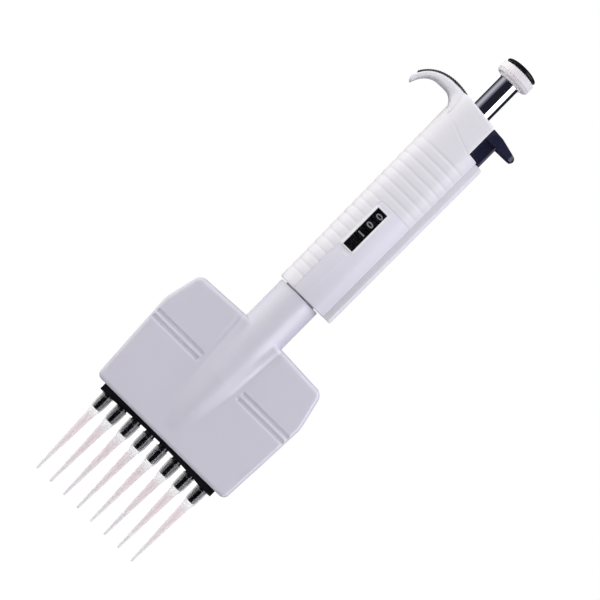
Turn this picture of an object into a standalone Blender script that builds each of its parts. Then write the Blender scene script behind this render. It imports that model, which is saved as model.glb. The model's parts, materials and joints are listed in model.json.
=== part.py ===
"""Eight-channel air-displacement pipette, modelled as an assembly of separate pieces.

Lengths below are millimetres; finish() turns them into metres. +Z runs up the pipette's axis from the
tip orifices, which lie in the plane z = 0, to the plunger knob. -Y is the display side, -X the finger
hook and +X the tip ejector.
"""

import math

import bmesh
import bpy
from mathutils import Matrix, Vector

MM = 0.001

# Driving dimensions ---------------------------------------------------------------------------------
CHANNELS = 8
PITCH = 9.0  # well spacing of a 96-well plate
GAP = 0.3  # clearance between neighbouring pieces

PLUNGER_STROKE = 11.0  # down to the first stop

TIP_LENGTH = 48.4
TIP_RIM_R = 3.5
CONE_END = 39.8  # lower end of the tip cones, inside the tips
MANIFOLD_BOTTOM = 52.3
MANIFOLD_TOP = 122.2
MANIFOLD_HALF_DEPTH = 8.7
MANIFOLD_WALL = 1.9
NECK_R = 11.7
NECK_TOP = 146.0
HANDLE_BOTTOM = 146.6
SHOULDER = 249.3  # floor of the notch that the ejector button stands in
HANDLE_TOP = 269.3  # on the hook side
TOP_SLOPE = 0.123  # how far the top face drops per millimetre towards the ejector
KNOB_BOTTOM = 287.9
KNOB_TOP = 298.2

WINDOW_HALF_WIDTH = 2.95
WINDOW_LOW = 177.9
WINDOW_HIGH = 201.6
DIGIT_RING_HEIGHT = 5.8
DIGIT_RING_R = 10.4

BIG_ROUND = 24  # segments of a large turned piece
SMALL_ROUND = 10  # segments of a small turned piece
COLOURS = {
    "white_plastic": ((0.83, 0.82, 0.84), 0.35, 0.0),
    "grey_plastic": ((0.58, 0.57, 0.63), 0.4, 0.0),
    "black_plastic": ((0.02, 0.02, 0.022), 0.35, 0.0),
    "navy_plastic": ((0.035, 0.04, 0.09), 0.3, 0.0),
    "grey_rubber": ((0.12, 0.12, 0.12), 0.7, 0.0),
    "black_rubber": ((0.02, 0.02, 0.02), 0.7, 0.0),
    "chrome": ((0.75, 0.75, 0.78), 0.08, 1.0),
    "steel": ((0.6, 0.6, 0.62), 0.25, 1.0),
    "clear_lens": ((0.85, 0.87, 0.9), 0.05, 0.0),
    "tip_plastic": ((0.93, 0.86, 0.86), 0.2, 0.0),
}


# Mesh helpers ---------------------------------------------------------------------------------------
def material(piece, slot):
    """A piece's own Principled material, in the colour and finish of its slot."""
    colour, roughness, metallic = COLOURS[slot]
    made = bpy.data.materials.new(piece + "_" + slot)
    made.use_nodes = True
    shader = made.node_tree.nodes["Principled BSDF"]
    shader.inputs["Base Color"].default_value = (*colour, 1.0)
    shader.inputs["Roughness"].default_value = roughness
    shader.inputs["Metallic"].default_value = metallic
    return made


def solid(name, points, faces):
    """A scratch object, in millimetres, from points and faces, with its normals facing out."""
    mesh = bpy.data.meshes.new(name)
    mesh.from_pydata([tuple(p) for p in points], [], faces)
    shape = bmesh.new()
    shape.from_mesh(mesh)
    bmesh.ops.recalc_face_normals(shape, faces=shape.faces)
    shape.to_mesh(mesh)
    shape.free()
    made = bpy.data.objects.new(name, mesh)
    bpy.context.scene.collection.objects.link(made)
    return made


def turned(name, profile, centre=(0.0, 0.0), segments=BIG_ROUND, bored=False):
    """The solid that a (radius, height) outline sweeps round a vertical axis.

    A bored piece has a closed outline away from the axis; a full one starts and ends on the axis.
    """
    rings, points = [], []
    for radius, height in profile:
        if radius == 0:
            rings.append([len(points)])
            points.append((centre[0], centre[1], height))
            continue
        rings.append(list(range(len(points), len(points) + segments)))
        for step in range(segments):
            angle = math.tau * (step + 0.5) / segments
            x = centre[0] + radius * math.cos(angle)
            points.append((x, centre[1] + radius * math.sin(angle), height))
    faces = []
    pairs = list(zip(rings, rings[1:] + rings[:1] if bored else rings[1:]))
    for low, high in pairs:
        for step in range(segments):
            after = (step + 1) % segments
            if len(low) == 1:
                faces.append((low[0], high[step], high[after]))
            elif len(high) == 1:
                faces.append((low[step], low[after], high[0]))
            else:
                faces.append((low[step], low[after], high[after], high[step]))
    return solid(name, points, faces)


def lofted(name, sections):
    """The solid through a list of equal-length closed sections, capped at both ends."""
    count = len(sections[0])
    points = [p for section in sections for p in section]
    faces = [tuple(range(count)), tuple(range(len(points) - count, len(points)))]
    for level in range(len(sections) - 1):
        for step in range(count):
            a = level * count + step
            b = level * count + (step + 1) % count
            faces.append((a, b, b + count, a + count))
    return solid(name, points, faces)


def plate_xz(name, outline, y_low, y_high):
    """A flat piece: an (x, z) outline with its thickness along Y."""
    return lofted(name, [[(x, y, z) for x, z in outline] for y in (y_low, y_high)])


def plate_xy(name, outline, z_low, z_high):
    """A flat piece: an (x, y) outline with its thickness along Z."""
    return lofted(name, [[(x, y, z) for x, y in outline] for z in (z_low, z_high)])


def box(name, x, y, z):
    """A block between three (low, high) pairs."""
    outline = [(x[0], y[0]), (x[1], y[0]), (x[1], y[1]), (x[0], y[1])]
    return plate_xy(name, outline, *z)


def coil(name, centre, radius, wire, low, high, turns, steps=8, sides=5):
    """A compression spring: a round wire wound along a helix, with its ends cut flat."""
    sections = []
    count = turns * steps
    for step in range(count + 1):
        angle = math.tau * step / steps
        height = low + wire + (high - low - 2 * wire) * step / count
        section = []
        for side in range(sides):
            around = math.tau * side / sides
            reach = radius + wire * math.cos(around)
            x = centre[0] + reach * math.cos(angle)
            y = centre[1] + reach * math.sin(angle)
            section.append((x, y, height + wire * math.sin(around)))
        sections.append(section)
    return lofted(name, sections)


def rounded(corners, steps=4):
    """An outline whose corners, each (x, z, radius), are arcs tangent to both neighbouring sides."""
    outline = []
    for index, (x, z, radius) in enumerate(corners):
        here = Vector((x, z))
        if radius == 0:
            outline.append((x, z))
            continue
        before = (Vector(corners[index - 1][:2]) - here).normalized()
        after = (Vector(corners[(index + 1) % len(corners)][:2]) - here).normalized()
        half = before.angle(after) / 2
        centre = here + (before + after).normalized() * radius / math.sin(half)
        start = here + before * radius / math.tan(half) - centre
        turn = start.angle_signed(here + after * radius / math.tan(half) - centre)
        for step in range(steps + 1):
            angle = -turn * step / steps
            cos, sin = math.cos(angle), math.sin(angle)
            spoke = (start.x * cos - start.y * sin, start.x * sin + start.y * cos)
            outline.append((centre.x + spoke[0], centre.y + spoke[1]))
    return outline


def bezier(start, first, second, end, steps):
    """Points of a cubic curve, both ends included."""
    found = []
    for step in range(steps + 1):
        t = step / steps
        weights = ((1 - t) ** 3, 3 * t * (1 - t) ** 2, 3 * t * t * (1 - t), t**3)
        ends = (start, first, second, end)
        found.append(tuple(sum(w * p[k] for w, p in zip(weights, ends)) for k in (0, 1)))
    return found


def combine(target, operation, others):
    """Applies one Boolean per helper object to the target, then removes the helpers."""
    for other in others:
        modifier = target.modifiers.new(operation, "BOOLEAN")
        modifier.operation = operation
        modifier.solver = "EXACT"
        modifier.object = other
        graph = bpy.context.evaluated_depsgraph_get()
        mesh = bpy.data.meshes.new_from_object(target.evaluated_get(graph))
        target.modifiers.clear()
        target.data = mesh
        bpy.data.objects.remove(other)
    return target


def cut(target, *cutters):
    return combine(target, "DIFFERENCE", cutters)


def join(target, *others):
    return combine(target, "UNION", others)


def keep(target, *masks):
    return combine(target, "INTERSECT", masks)


def channel_x():
    """The X position of each channel, from the hook side to the ejector side."""
    return [PITCH * (index - (CHANNELS - 1) / 2) for index in range(CHANNELS)]


BODY_EMPTIES = {}


def add_body(name, parent=None, height=0.0):
    """An empty on the pipette's axis that carries one rigid group of pieces."""
    made = bpy.data.objects.new("frame_" + name, None)
    bpy.context.scene.collection.objects.link(made)
    made.location = (0, 0, height * MM)
    if parent:
        made.parent = BODY_EMPTIES[parent]
        made.location.z -= made.parent.matrix_world.translation.z
    bpy.context.view_layer.update()
    BODY_EMPTIES[name] = made


def finish(piece, body, slot, origin=(0.0, 0.0, 0.0)):
    """Turns a scratch solid into a piece: metres, own origin, parent, material and shading."""
    shift = Vector(origin)
    for vertex in piece.data.vertices:
        vertex.co = (vertex.co - shift) * MM
    parent = BODY_EMPTIES[body]
    piece.parent = parent
    piece.location = shift * MM - parent.matrix_world.translation
    piece.data.materials.clear()
    piece.data.materials.append(material(piece.name, slot))
    piece.data.shade_smooth()
    piece.data.set_sharp_from_angle(angle=math.radians(35))
    return piece


# Handle ---------------------------------------------------------------------------------------------
HANDLE_CENTRE_X = 1.0  # the section's middle stands off the axis, towards the ejector
HANDLE_HALF_X, HANDLE_HALF_Y = 14.8, 13.0
HANDLE_TAPER = 0.6  # narrowing per side from the top to the bottom
HANDLE_POWER = 2.6  # superellipse exponent of the section
GRIP_TOP, GRIP_PITCH, GRIP_COUNT = 239.8, 5.06, 18
GRIP_DEPTH, GRIP_HALF_WIDTH = 0.3, 0.45
HANDLE_BORE = 10.9
UPPER_BORE = 8.2
TOP_HOLE = 6.0
NOTCH_X = 9.7
COVER_HALF_WIDTH = 4.6
COVER_REACH = 19.6
COVER_INNER_X = 13.4
COVER_ROUND = 2.2
ROD_X = 15.0
STEM_HALF_WIDTH = 3.1
ARM_LOW, ARM_HIGH = 158.8, 171.6  # travel of the arm that joins the ejector's rod and collar
PANEL_TOP = 205.0
PANEL_LEFT, PANEL_RIGHT = -4.9, 15.1
PANEL_THICKNESS = 1.0
LENS_FRONT, LENS_BACK = -12.2, -10.9
FRAME_LOW = 176.6
HOOK_HALF_DEPTH = 6.5
HOOK_PAD_THICKNESS = 0.9


def handle_taper(z):
    """How much narrower the handle is at a height than at its top, per side."""
    return HANDLE_TAPER * (HANDLE_TOP - z) / (HANDLE_TOP - HANDLE_BOTTOM)


def top_height(x):
    return HANDLE_TOP - TOP_SLOPE * (x + 13.8)


def handle_section(z, inset, points=48):
    """The handle's outer section at a height, drawn in by an inset, and never above the sloping top."""
    half_x = HANDLE_HALF_X - handle_taper(z) - inset
    half_y = HANDLE_HALF_Y - handle_taper(z) - inset
    ring = []
    for step in range(points):
        angle = math.tau * (step + 0.5) / points
        cos, sin = math.cos(angle), math.sin(angle)
        x = HANDLE_CENTRE_X + half_x * math.copysign(abs(cos) ** (2 / HANDLE_POWER), cos)
        y = half_y * math.copysign(abs(sin) ** (2 / HANDLE_POWER), sin)
        ring.append((x, y, min(z, top_height(x))))
    return ring


def handle_loft(name, inset, low, high):
    return lofted(name, [handle_section(z, inset) for z in (low, high)])


def grip_row(z):
    """The bottom line of one grip groove. Beside the label panel only the hook side is grooved."""
    outer, sunk = handle_section(z, 0.0), handle_section(z, GRIP_DEPTH)
    limit = NOTCH_X if z > PANEL_TOP else PANEL_LEFT - 2 * GAP
    return [inner if inner[0] < limit else point for point, inner in zip(outer, sunk)]


def gripped_handle(name):
    """The handle's outer form with its finger grooves."""
    rows = [handle_section(HANDLE_BOTTOM, 0.0)]
    for index in reversed(range(GRIP_COUNT)):
        z = GRIP_TOP - index * GRIP_PITCH
        rows.append(handle_section(z - GRIP_HALF_WIDTH, 0.0))
        rows.append(grip_row(z))
        rows.append(handle_section(z + GRIP_HALF_WIDTH, 0.0))
    rows.append(handle_section(HANDLE_TOP, 0.0))
    return lofted(name, rows)


def panel_region(name, grow):
    """The column, seen from the front, that the smooth label panel fills."""
    low, high = HANDLE_BOTTOM + GAP - grow, PANEL_TOP + grow
    left, right = PANEL_LEFT - grow, PANEL_RIGHT + grow
    beside_window = -WINDOW_HALF_WIDTH - 1.25 - grow
    outline = [(left, low), (right, low), (right, high), (beside_window, high)]
    outline += [(beside_window, WINDOW_LOW - 0.9), (left, WINDOW_LOW - 7.9)]
    return plate_xz(name, outline, -20.0, -5.2 + grow)


def window_cutter(grow):
    wide = WINDOW_HALF_WIDTH + grow
    height = (WINDOW_LOW - grow, WINDOW_HIGH + grow)
    return box("window_cutter", (-wide, wide), (-20, -6), height)


def hook_top(steps=12):
    return bezier((-10.0, 268.6), (-20.0, 271.6), (-31.5, 269.5), (-36.0, 258.0), steps)


def hook_outline():
    """The finger hook from the side: arched top, blunt end, arched underside with a flat crown."""
    end = [(-35.9, 256.0), (-35.0, 255.0)]
    outer_arch = bezier((-34.2, 255.3), (-33.0, 260.5), (-28.5, 264.3), (-24.5, 264.3), 6)
    inner_arch = bezier((-19.5, 264.3), (-16.0, 264.3), (-13.6, 261.5), (-12.6, 254.0), 6)
    return hook_top() + end + outer_arch + inner_arch + [(-10.0, 252.0)]


def handle_shell():
    shell = gripped_handle("handle_shell")
    join(shell, plate_xz("hook", hook_outline(), -HOOK_HALF_DEPTH, HOOK_HALF_DEPTH))
    recess = keep(handle_loft("recess", -1.0, 100, 300), panel_region("region", GAP))
    cut(recess, handle_loft("recess_floor", PANEL_THICKNESS + GAP, 90, 310))
    ceiling = THRUST_TOP + GAP
    bore = [(0, 140), (HANDLE_BORE, 140), (HANDLE_BORE, ceiling), (UPPER_BORE, ceiling)]
    bore += [(UPPER_BORE, 264.0), (TOP_HOLE, 264.0), (TOP_HOLE, 280.0), (0, 280.0)]
    wide, recess_x = COVER_HALF_WIDTH + GAP, COVER_INNER_X - GAP
    cut(
        shell,
        recess,
        turned("bore", bore),
        box("notch", (NOTCH_X, 30), (-20, 20), (SHOULDER, 290)),
        box("cover_recess", (recess_x, 30), (-wide, wide), (140, 250)),
        box("stem_pocket", (NOTCH_X, 15), (-STEM_HALF_WIDTH - GAP, STEM_HALF_WIDTH + GAP), (231.0, 250)),
        box("rod_channel", (12.2, 15), (-2.8, 2.8), (ARM_LOW, 240)),
        box("arm_slot", (8.0, 15), (-2.5, 2.5), (ARM_LOW, ARM_HIGH)),
        window_cutter(0.4),
    )
    return finish(shell, "handle", "white_plastic", (0, 0, HANDLE_BOTTOM))


def hook_pad():
    """The rubber strip on top of the hook, following its arch."""
    line = hook_top(24)[1:22]
    low, high = [], []
    for index, point in enumerate(line):
        before, after = line[max(index - 1, 0)], line[min(index + 1, len(line) - 1)]
        along = (Vector(after) - Vector(before)).normalized()
        normal = Vector((along.y, -along.x))
        low.append(tuple(Vector(point) + normal * GAP))
        high.append(tuple(Vector(point) + normal * (GAP + HOOK_PAD_THICKNESS)))
    pad = plate_xz("hook_pad", low + high[::-1], -HOOK_HALF_DEPTH + 0.6, HOOK_HALF_DEPTH - 0.6)
    return finish(pad, "handle", "grey_rubber", (-23.0, 0, 270.0))


def label_panel():
    panel = keep(handle_loft("label_panel", 0.0, 100, 300), panel_region("region", 0.0))
    cut(panel, handle_loft("inside", PANEL_THICKNESS, 90, 310), window_cutter(0.0))
    return finish(panel, "handle", "white_plastic", (0, 0, 175))


def display_lens():
    wide = WINDOW_HALF_WIDTH - 0.2
    height = (WINDOW_LOW + 0.2, WINDOW_HIGH - 0.2)
    lens = box("display_lens", (-wide, wide), (LENS_FRONT, LENS_BACK), height)
    return finish(lens, "handle", "clear_lens", (0, LENS_FRONT, WINDOW_LOW))


def ejector_cover():
    """The ridge down the ejector side, with a bored ledge inside that the ejector spring rests on."""

    def section(z):
        reach = COVER_REACH - handle_taper(z)
        wide = COVER_HALF_WIDTH
        corners = [(COVER_INNER_X, -wide, 0), (reach, -wide, COVER_ROUND)]
        corners += [(reach, wide, COVER_ROUND), (COVER_INNER_X, wide, 0)]
        return [(x, y, z) for x, y in rounded(corners)]

    low, high = HANDLE_BOTTOM, SHOULDER - 0.5
    cover = lofted("ejector_cover", [section(low), section(high)])
    wide = STEM_HALF_WIDTH + GAP
    cut(cover, box("upper_hollow", (10, 17.9), (-wide, wide), (205, 260)))
    cut(cover, box("lower_hollow", (10, 17.0), (-wide, wide), (150, 203)))
    hole = [(0, 195), (1.8, 195), (1.8, 210), (0, 210)]
    cut(cover, turned("rod_hole", hole, (ROD_X, 0), SMALL_ROUND))
    return finish(cover, "handle", "white_plastic", (ROD_X, 0, low))


def ring_piece(name, body, slot, inner, outer, low, high):
    """A plain bored ring on the pipette's axis."""
    profile = [(inner, low), (outer, low), (outer, high), (inner, high)]
    return finish(turned(name, profile, bored=True), body, slot, (0, 0, low))


def counter_frame():
    """The black core that the digit rings turn on; its wide base fills the lower part of the window."""
    base_top = WINDOW_LOW + 6.3
    profile = [(2.6, FRAME_LOW), (DIGIT_RING_R, FRAME_LOW), (DIGIT_RING_R, base_top), (7.6, base_top)]
    profile += [(7.6, 200.3), (5.2, 200.3), (5.2, 180.0), (2.6, 180.0)]
    frame = turned("counter_frame", profile, bored=True)
    return finish(frame, "handle", "black_plastic", (0, 0, FRAME_LOW))


def digit_rings():
    """Three number rings; the ones ring has a web that the plunger's shaft turns."""
    for index, name in enumerate(("hundreds", "tens", "ones")):
        low = WINDOW_LOW + 6.6 + index * DIGIT_RING_HEIGHT
        high = low + DIGIT_RING_HEIGHT - GAP
        profile = [(7.9, low), (DIGIT_RING_R, low), (DIGIT_RING_R, high)]
        web = [(2.4, high), (2.4, high - 1.2), (7.9, high - 1.2)]
        profile += web if name == "ones" else [(7.9, high)]
        ring = turned("ring_" + name, profile, bored=True)
        finish(ring, name + "_ring", "black_plastic", (0, 0, low))


# Plunger --------------------------------------------------------------------------------------------
DRIVE_ROD_R = 2.0
SLEEVE_R = 5.45
SEAT_TOP = 205.9
BLOWOUT_RING_TOP = 216.4
THRUST_TOP = 247.4
FOOT_BOTTOM = 150.3
STOP_RING_R, STOP_RING_HEIGHT = 9.2, 2.8
KNOB_R = 9.1
CAP_R = 8.5


def plunger_parts():
    hub_bottom = BLOWOUT_RING_TOP + GAP + PLUNGER_STROKE
    low, high = BLOWOUT_RING_TOP - STOP_RING_HEIGHT, BLOWOUT_RING_TOP
    ring_piece("blowout_ring", "blowout", "black_plastic", 2.5, STOP_RING_R, low, high)
    low, high = THRUST_TOP - STOP_RING_HEIGHT, THRUST_TOP
    profile = [(2.3, hub_bottom), (4.2, hub_bottom), (4.2, low), (STOP_RING_R, low)]
    profile += [(STOP_RING_R, high), (2.3, high)]
    finish(turned("thrust_ring", profile, bored=True), "plunger", "white_plastic", (0, 0, THRUST_TOP))
    spring = coil("main_spring", (0, 0), 5.8, 0.5, BLOWOUT_RING_TOP + 0.2, THRUST_TOP - 3.0, 7)
    finish(spring, "blowout", "steel", (0, 0, BLOWOUT_RING_TOP))
    spring = coil("blowout_spring", (0, 0), 7.0, 0.7, SEAT_TOP + 0.2, BLOWOUT_RING_TOP - 3.0, 3)
    finish(spring, "handle", "steel", (0, 0, SEAT_TOP))

    ring_piece("plunger_sleeve", "knob", "chrome", 2.3, SLEEVE_R, THRUST_TOP + GAP, KNOB_BOTTOM + 3.0)
    foot_top = FOOT_BOTTOM + 3.7
    profile = [(0, 290.0), (DRIVE_ROD_R, 290.0), (DRIVE_ROD_R, foot_top), (3.2, foot_top)]
    profile += [(3.2, FOOT_BOTTOM), (0, FOOT_BOTTOM)]
    finish(turned("drive_rod", profile, segments=16), "knob", "steel", (0, 0, FOOT_BOTTOM))


def knob_parts():
    """The knob is a cup over the sleeve's end; the black cap closes it with a shallow dome."""
    socket = KNOB_BOTTOM + 3.0 + GAP
    rim = KNOB_TOP - 2.9
    profile = [(0, socket), (SLEEVE_R + GAP, socket), (SLEEVE_R + GAP, KNOB_BOTTOM)]
    profile += [(7.4, KNOB_BOTTOM), (KNOB_R, KNOB_BOTTOM + 1.8), (KNOB_R, rim - 1.0), (8.8, rim)]
    profile += [(6.6, rim), (6.6, rim - 2.6), (0, rim - 2.6)]
    knob = turned("knob", profile)
    knob_socket = [(0, 280), (DRIVE_ROD_R + GAP, 280), (DRIVE_ROD_R + GAP, 290.4), (0, 290.4)]
    cut(knob, turned("rod_socket", knob_socket, segments=16))
    finish(knob, "knob", "white_plastic", (0, 0, KNOB_BOTTOM))

    low = rim + GAP
    edge = low + 0.9
    profile = [(0, KNOB_TOP)]
    for angle in (0.45, 0.9, 1.25, math.pi / 2):
        profile.append((CAP_R * math.sin(angle), edge + (KNOB_TOP - edge) * math.cos(angle)))
    profile += [(CAP_R, low), (6.2, low), (6.2, rim - 2.2), (0, rim - 2.2)]
    finish(turned("knob_insert", profile), "knob", "black_plastic", (0, 0, low))


# Tip ejector ----------------------------------------------------------------------------------------
LEVER_BOTTOM = 260.8
STEM_BOTTOM = 240.0
COLLAR_BOTTOM = 152.3
PLATE_TOP = 54.0
PLATE_MID_LOW, PLATE_END_LOW = 50.2, 48.7
LEG_BOTTOM = 56.3
PLATE_HALF_LENGTH = 36.4
LEG_INNER, LEG_OUTER = 36.2, 38.0
YOKE_BAR_LOW, YOKE_BAR_HIGH = 112.0, 115.0


def ejector_button():
    """An L: a flat stem that runs into the handle, and a tapered lever that the thumb presses."""
    left = NOTCH_X + GAP
    profile = [(left, 266.5), (left, LEVER_BOTTOM), (26.6, LEVER_BOTTOM + 0.2)]
    profile += [(27.6, LEVER_BOTTOM + 1.4), (26.8, 263.7), (16.5, 266.1)]
    button = plate_xz("ejector_button", profile, -6.0, 6.0)
    plan = [(16, -6, 4), (28.0, -5.0, 4.4), (28.0, 5.0, 4.4), (16, 6, 4), (left - 1, 7, 0), (left - 1, -7, 0)]
    keep(button, plate_xy("lever_plan", rounded(plan), 255, 270))
    join(button, box("stem", (left, 17.6), (-STEM_HALF_WIDTH, STEM_HALF_WIDTH), (STEM_BOTTOM, 263.0)))
    return finish(button, "ejector", "navy_plastic", (left, 0, STEM_BOTTOM))


def ejector_parts():
    arm_low = 167.9
    rod_top = STEM_BOTTOM - GAP
    profile = [(0, arm_low), (1.5, arm_low), (1.5, rod_top), (0, rod_top)]
    rod = turned("ejector_rod", profile, (ROD_X, 0), SMALL_ROUND)
    join(rod, box("arm", (5.0, 16.4), (-1.9, 1.9), (arm_low, 170.4)))
    cut(rod, turned("shaft_clearance", [(0, 160), (3.6, 160), (3.6, 180), (0, 180)], segments=16))
    finish(rod, "ejector", "steel", (ROD_X, 0, arm_low))
    flange = arm_low - GAP
    profile = [(4.0, COLLAR_BOTTOM), (6.9, COLLAR_BOTTOM), (6.9, flange - 2.6), (9.0, flange - 2.6)]
    profile += [(9.0, flange), (4.0, flange)]
    collar = turned("ejector_collar", profile, bored=True)
    finish(collar, "ejector", "black_plastic", (0, 0, COLLAR_BOTTOM))
    spring = coil("ejector_spring", (ROD_X, 0), 2.3, 0.32, 205.3, rod_top, 8, steps=6, sides=4)
    finish(spring, "handle", "steel", (ROD_X, 0, 205))


def ejector_yoke():
    """A bridge over the piston bar, two legs down to the plate and a sleeve up through the neck."""
    yoke = box("ejector_yoke", (-LEG_OUTER, LEG_OUTER), (-3.5, 3.5), (LEG_BOTTOM, YOKE_BAR_HIGH))
    cut(yoke, box("between_legs", (-LEG_INNER, LEG_INNER), (-9, 9), (0, YOKE_BAR_LOW)))
    top = COLLAR_BOTTOM - GAP
    sleeve = [(0, YOKE_BAR_LOW + 0.4), (7.0, YOKE_BAR_LOW + 0.4), (7.0, top), (0, top)]
    join(yoke, turned("sleeve", sleeve, segments=20))
    hole = [(0, 90), (3.9, 90), (3.9, 170), (0, 170)]
    cut(yoke, turned("rod_hole", hole, segments=20))
    return finish(yoke, "ejector_yoke", "black_plastic", (0, 0, YOKE_BAR_LOW))


def ejector_plate():
    """The bar that pushes the tips off. It hangs lower at its ends, so the outer tips let go first."""
    length = PLATE_HALF_LENGTH
    arch = [(length, PLATE_END_LOW), (30.0, PLATE_END_LOW)]
    arch += [(x, PLATE_MID_LOW - 1.5 * (x / 30.0) ** 2) for x in (20, 10, 0, -10, -20)]
    arch += [(-30.0, PLATE_END_LOW), (-length, PLATE_END_LOW)]
    plate = plate_xz("ejector_plate", [(-length, PLATE_TOP), (length, PLATE_TOP)] + arch, -5.4, 5.4)
    for side in (-1, 1):
        foot = sorted((side * (length - 2.0), side * LEG_OUTER))
        ear = sorted((side * LEG_INNER, side * LEG_OUTER))
        join(plate, box("foot", foot, (-3.5, 3.5), (MANIFOLD_BOTTOM + GAP, PLATE_TOP - 0.1)))
        join(plate, box("ear", ear, (-3.4, 3.4), (PLATE_TOP - 0.9, LEG_BOTTOM - GAP)))
    for x in channel_x():
        cut(plate, turned("hole", [(0, 40), (3.1, 40), (3.1, 60), (0, 60)], (x, 0), SMALL_ROUND))
    return finish(plate, "ejector_yoke", "black_plastic", (0, 0, PLATE_TOP))


# Manifold -------------------------------------------------------------------------------------------
NECK_BORE = 7.6
NECK_BORE_LOW = 103.5  # clears the yoke's sleeve at the end of its travel
CASING_ROUND = 2.2
SLOT_HALF_LENGTH, SLOT_HALF_WIDTH = 38.4, 5.8
SPIGOT_R = 8.8
SPIGOT_TOP = 156.4
HOLDER_LOW, HOLDER_HIGH = 54.6, 62.0
BARREL_TOP = 79.0
SEAL_TOP = 82.6
PISTON_BAR_LOW, PISTON_BAR_HIGH = 97.5, 102.0
PISTON_R = 2.9
GROOVE_DEPTH = 0.5
GROOVE_HEIGHTS = (91.0, 94.4)
SCREW_PLACES = ((-40.4, 100.0), (40.4, 100.0), (-18.0, 58.2), (18.0, 58.2))


def manifold_outline(inset=0.0):
    """The housing from the front: nearly flat top, sides that swell to the shoulders, rounded corners."""
    half = [(42.2, MANIFOLD_BOTTOM, 3.2), (44.6, 101.5, 14.0), (40.2, 120.2, 4.0)]
    corners = [(x - inset, z, max(r - inset, 0.5)) for x, z, r in half]
    corners[0] = (corners[0][0], MANIFOLD_BOTTOM + inset, corners[0][2])
    corners[2] = (corners[2][0], 120.2 - inset, corners[2][2])
    top = [(0.0, MANIFOLD_TOP - inset, 0)]
    mirrored = [(-x, z, r) for x, z, r in corners[::-1]]
    return rounded(corners + top + mirrored)


def ellipse(half_x, half_y, z, steps=28):
    """A level section of the neck or of its fairing."""
    angles = [math.tau * (step + 0.5) / steps for step in range(steps)]
    return [(half_x * math.cos(a), half_y * math.sin(a), z) for a in angles]


def manifold_half(name, fairing_end):
    """The front casing half. The neck runs down it as a fairing that sinks into the flat wall."""
    depth, wall = MANIFOLD_HALF_DEPTH, MANIFOLD_WALL
    levels = [(-3.0, 0.0), (depth - CASING_ROUND, 0.0), (depth - 0.7, 0.7), (depth, CASING_ROUND)]
    shell = lofted(name, [[(x, -y, z) for x, z in manifold_outline(inset)] for y, inset in levels])
    fall = MANIFOLD_TOP - fairing_end
    spread = [(NECK_R, NECK_R, NECK_TOP), (NECK_R, NECK_R, MANIFOLD_TOP + 0.4)]
    spread += [(12.4, 11.5, MANIFOLD_TOP - 0.2 * fall), (12.0, 10.9, MANIFOLD_TOP - 0.45 * fall)]
    spread += [(11.0, 9.7, MANIFOLD_TOP - 0.75 * fall), (7.0, depth + 0.05, fairing_end)]
    join(shell, lofted("fairing", [ellipse(*level) for level in spread]))
    spigot = [(0, 140), (SPIGOT_R, 140), (SPIGOT_R, 154.6), (10.1, 154.6)]
    spigot += [(10.1, SPIGOT_TOP), (0, SPIGOT_TOP)]
    join(shell, turned("spigot", spigot))
    cut(
        shell,
        plate_xz("hollow", manifold_outline(wall), -(depth - wall), 20.0),
        turned("neck_bore", [(0, NECK_BORE_LOW), (NECK_BORE, NECK_BORE_LOW), (NECK_BORE, 170), (0, 170)]),
        box("slot", (-SLOT_HALF_LENGTH, SLOT_HALF_LENGTH), (-SLOT_HALF_WIDTH, SLOT_HALF_WIDTH), (40, 60)),
        box("other_half", (-60, 60), (-0.15, 40), (0, 200)),
    )
    for z in GROOVE_HEIGHTS:
        for side in (-1, 1):
            span = sorted((side * 13.0, side * 50.0))
            cut(shell, box("groove", span, (-20, GROOVE_DEPTH - depth), (z - 0.6, z + 0.6)))
    for x, z in SCREW_PLACES[:2]:
        join(shell, plate_xz("boss", circle(x, z, 2.15), -(depth - wall) - 0.5, -GAP))
    return shell


def circle(x, z, radius, steps=10):
    angles = [math.tau * step / steps for step in range(steps)]
    return [(x + radius * math.cos(a), z + radius * math.sin(a)) for a in angles]


def manifold_casing():
    front = manifold_half("manifold_front", 60.0)
    back = manifold_half("manifold_back", 84.0)
    back.data.transform(Matrix.Diagonal((1, -1, 1, 1)))
    back.data.flip_normals()
    depth = MANIFOLD_HALF_DEPTH
    for x, z in SCREW_PLACES[:2]:
        cut(front, plate_xz("thread", circle(x, z, 1.15), -5.0, 1.0))
    for x, z in SCREW_PLACES:
        cut(back, plate_xz("shank_hole", circle(x, z, 1.4), -1.0, depth + 1))
        cut(back, plate_xz("head_seat", circle(x, z, 2.35), depth - 1.1, depth + 1))
    finish(front, "manifold", "grey_plastic", (0, 0, MANIFOLD_BOTTOM))
    finish(back, "manifold", "grey_plastic", (0, 0, MANIFOLD_BOTTOM))
    for index, (x, z) in enumerate(SCREW_PLACES):
        reach = -4.6 if z > HOLDER_HIGH else 4.6
        screw = plate_xz("case_screw_%d" % (index + 1), circle(x, z, 2.0), depth - 0.8, depth - 0.2)
        join(screw, plate_xz("shank", circle(x, z, 1.0), reach, depth - 0.5))
        finish(screw, "manifold", "steel", (x, depth, z))


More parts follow.
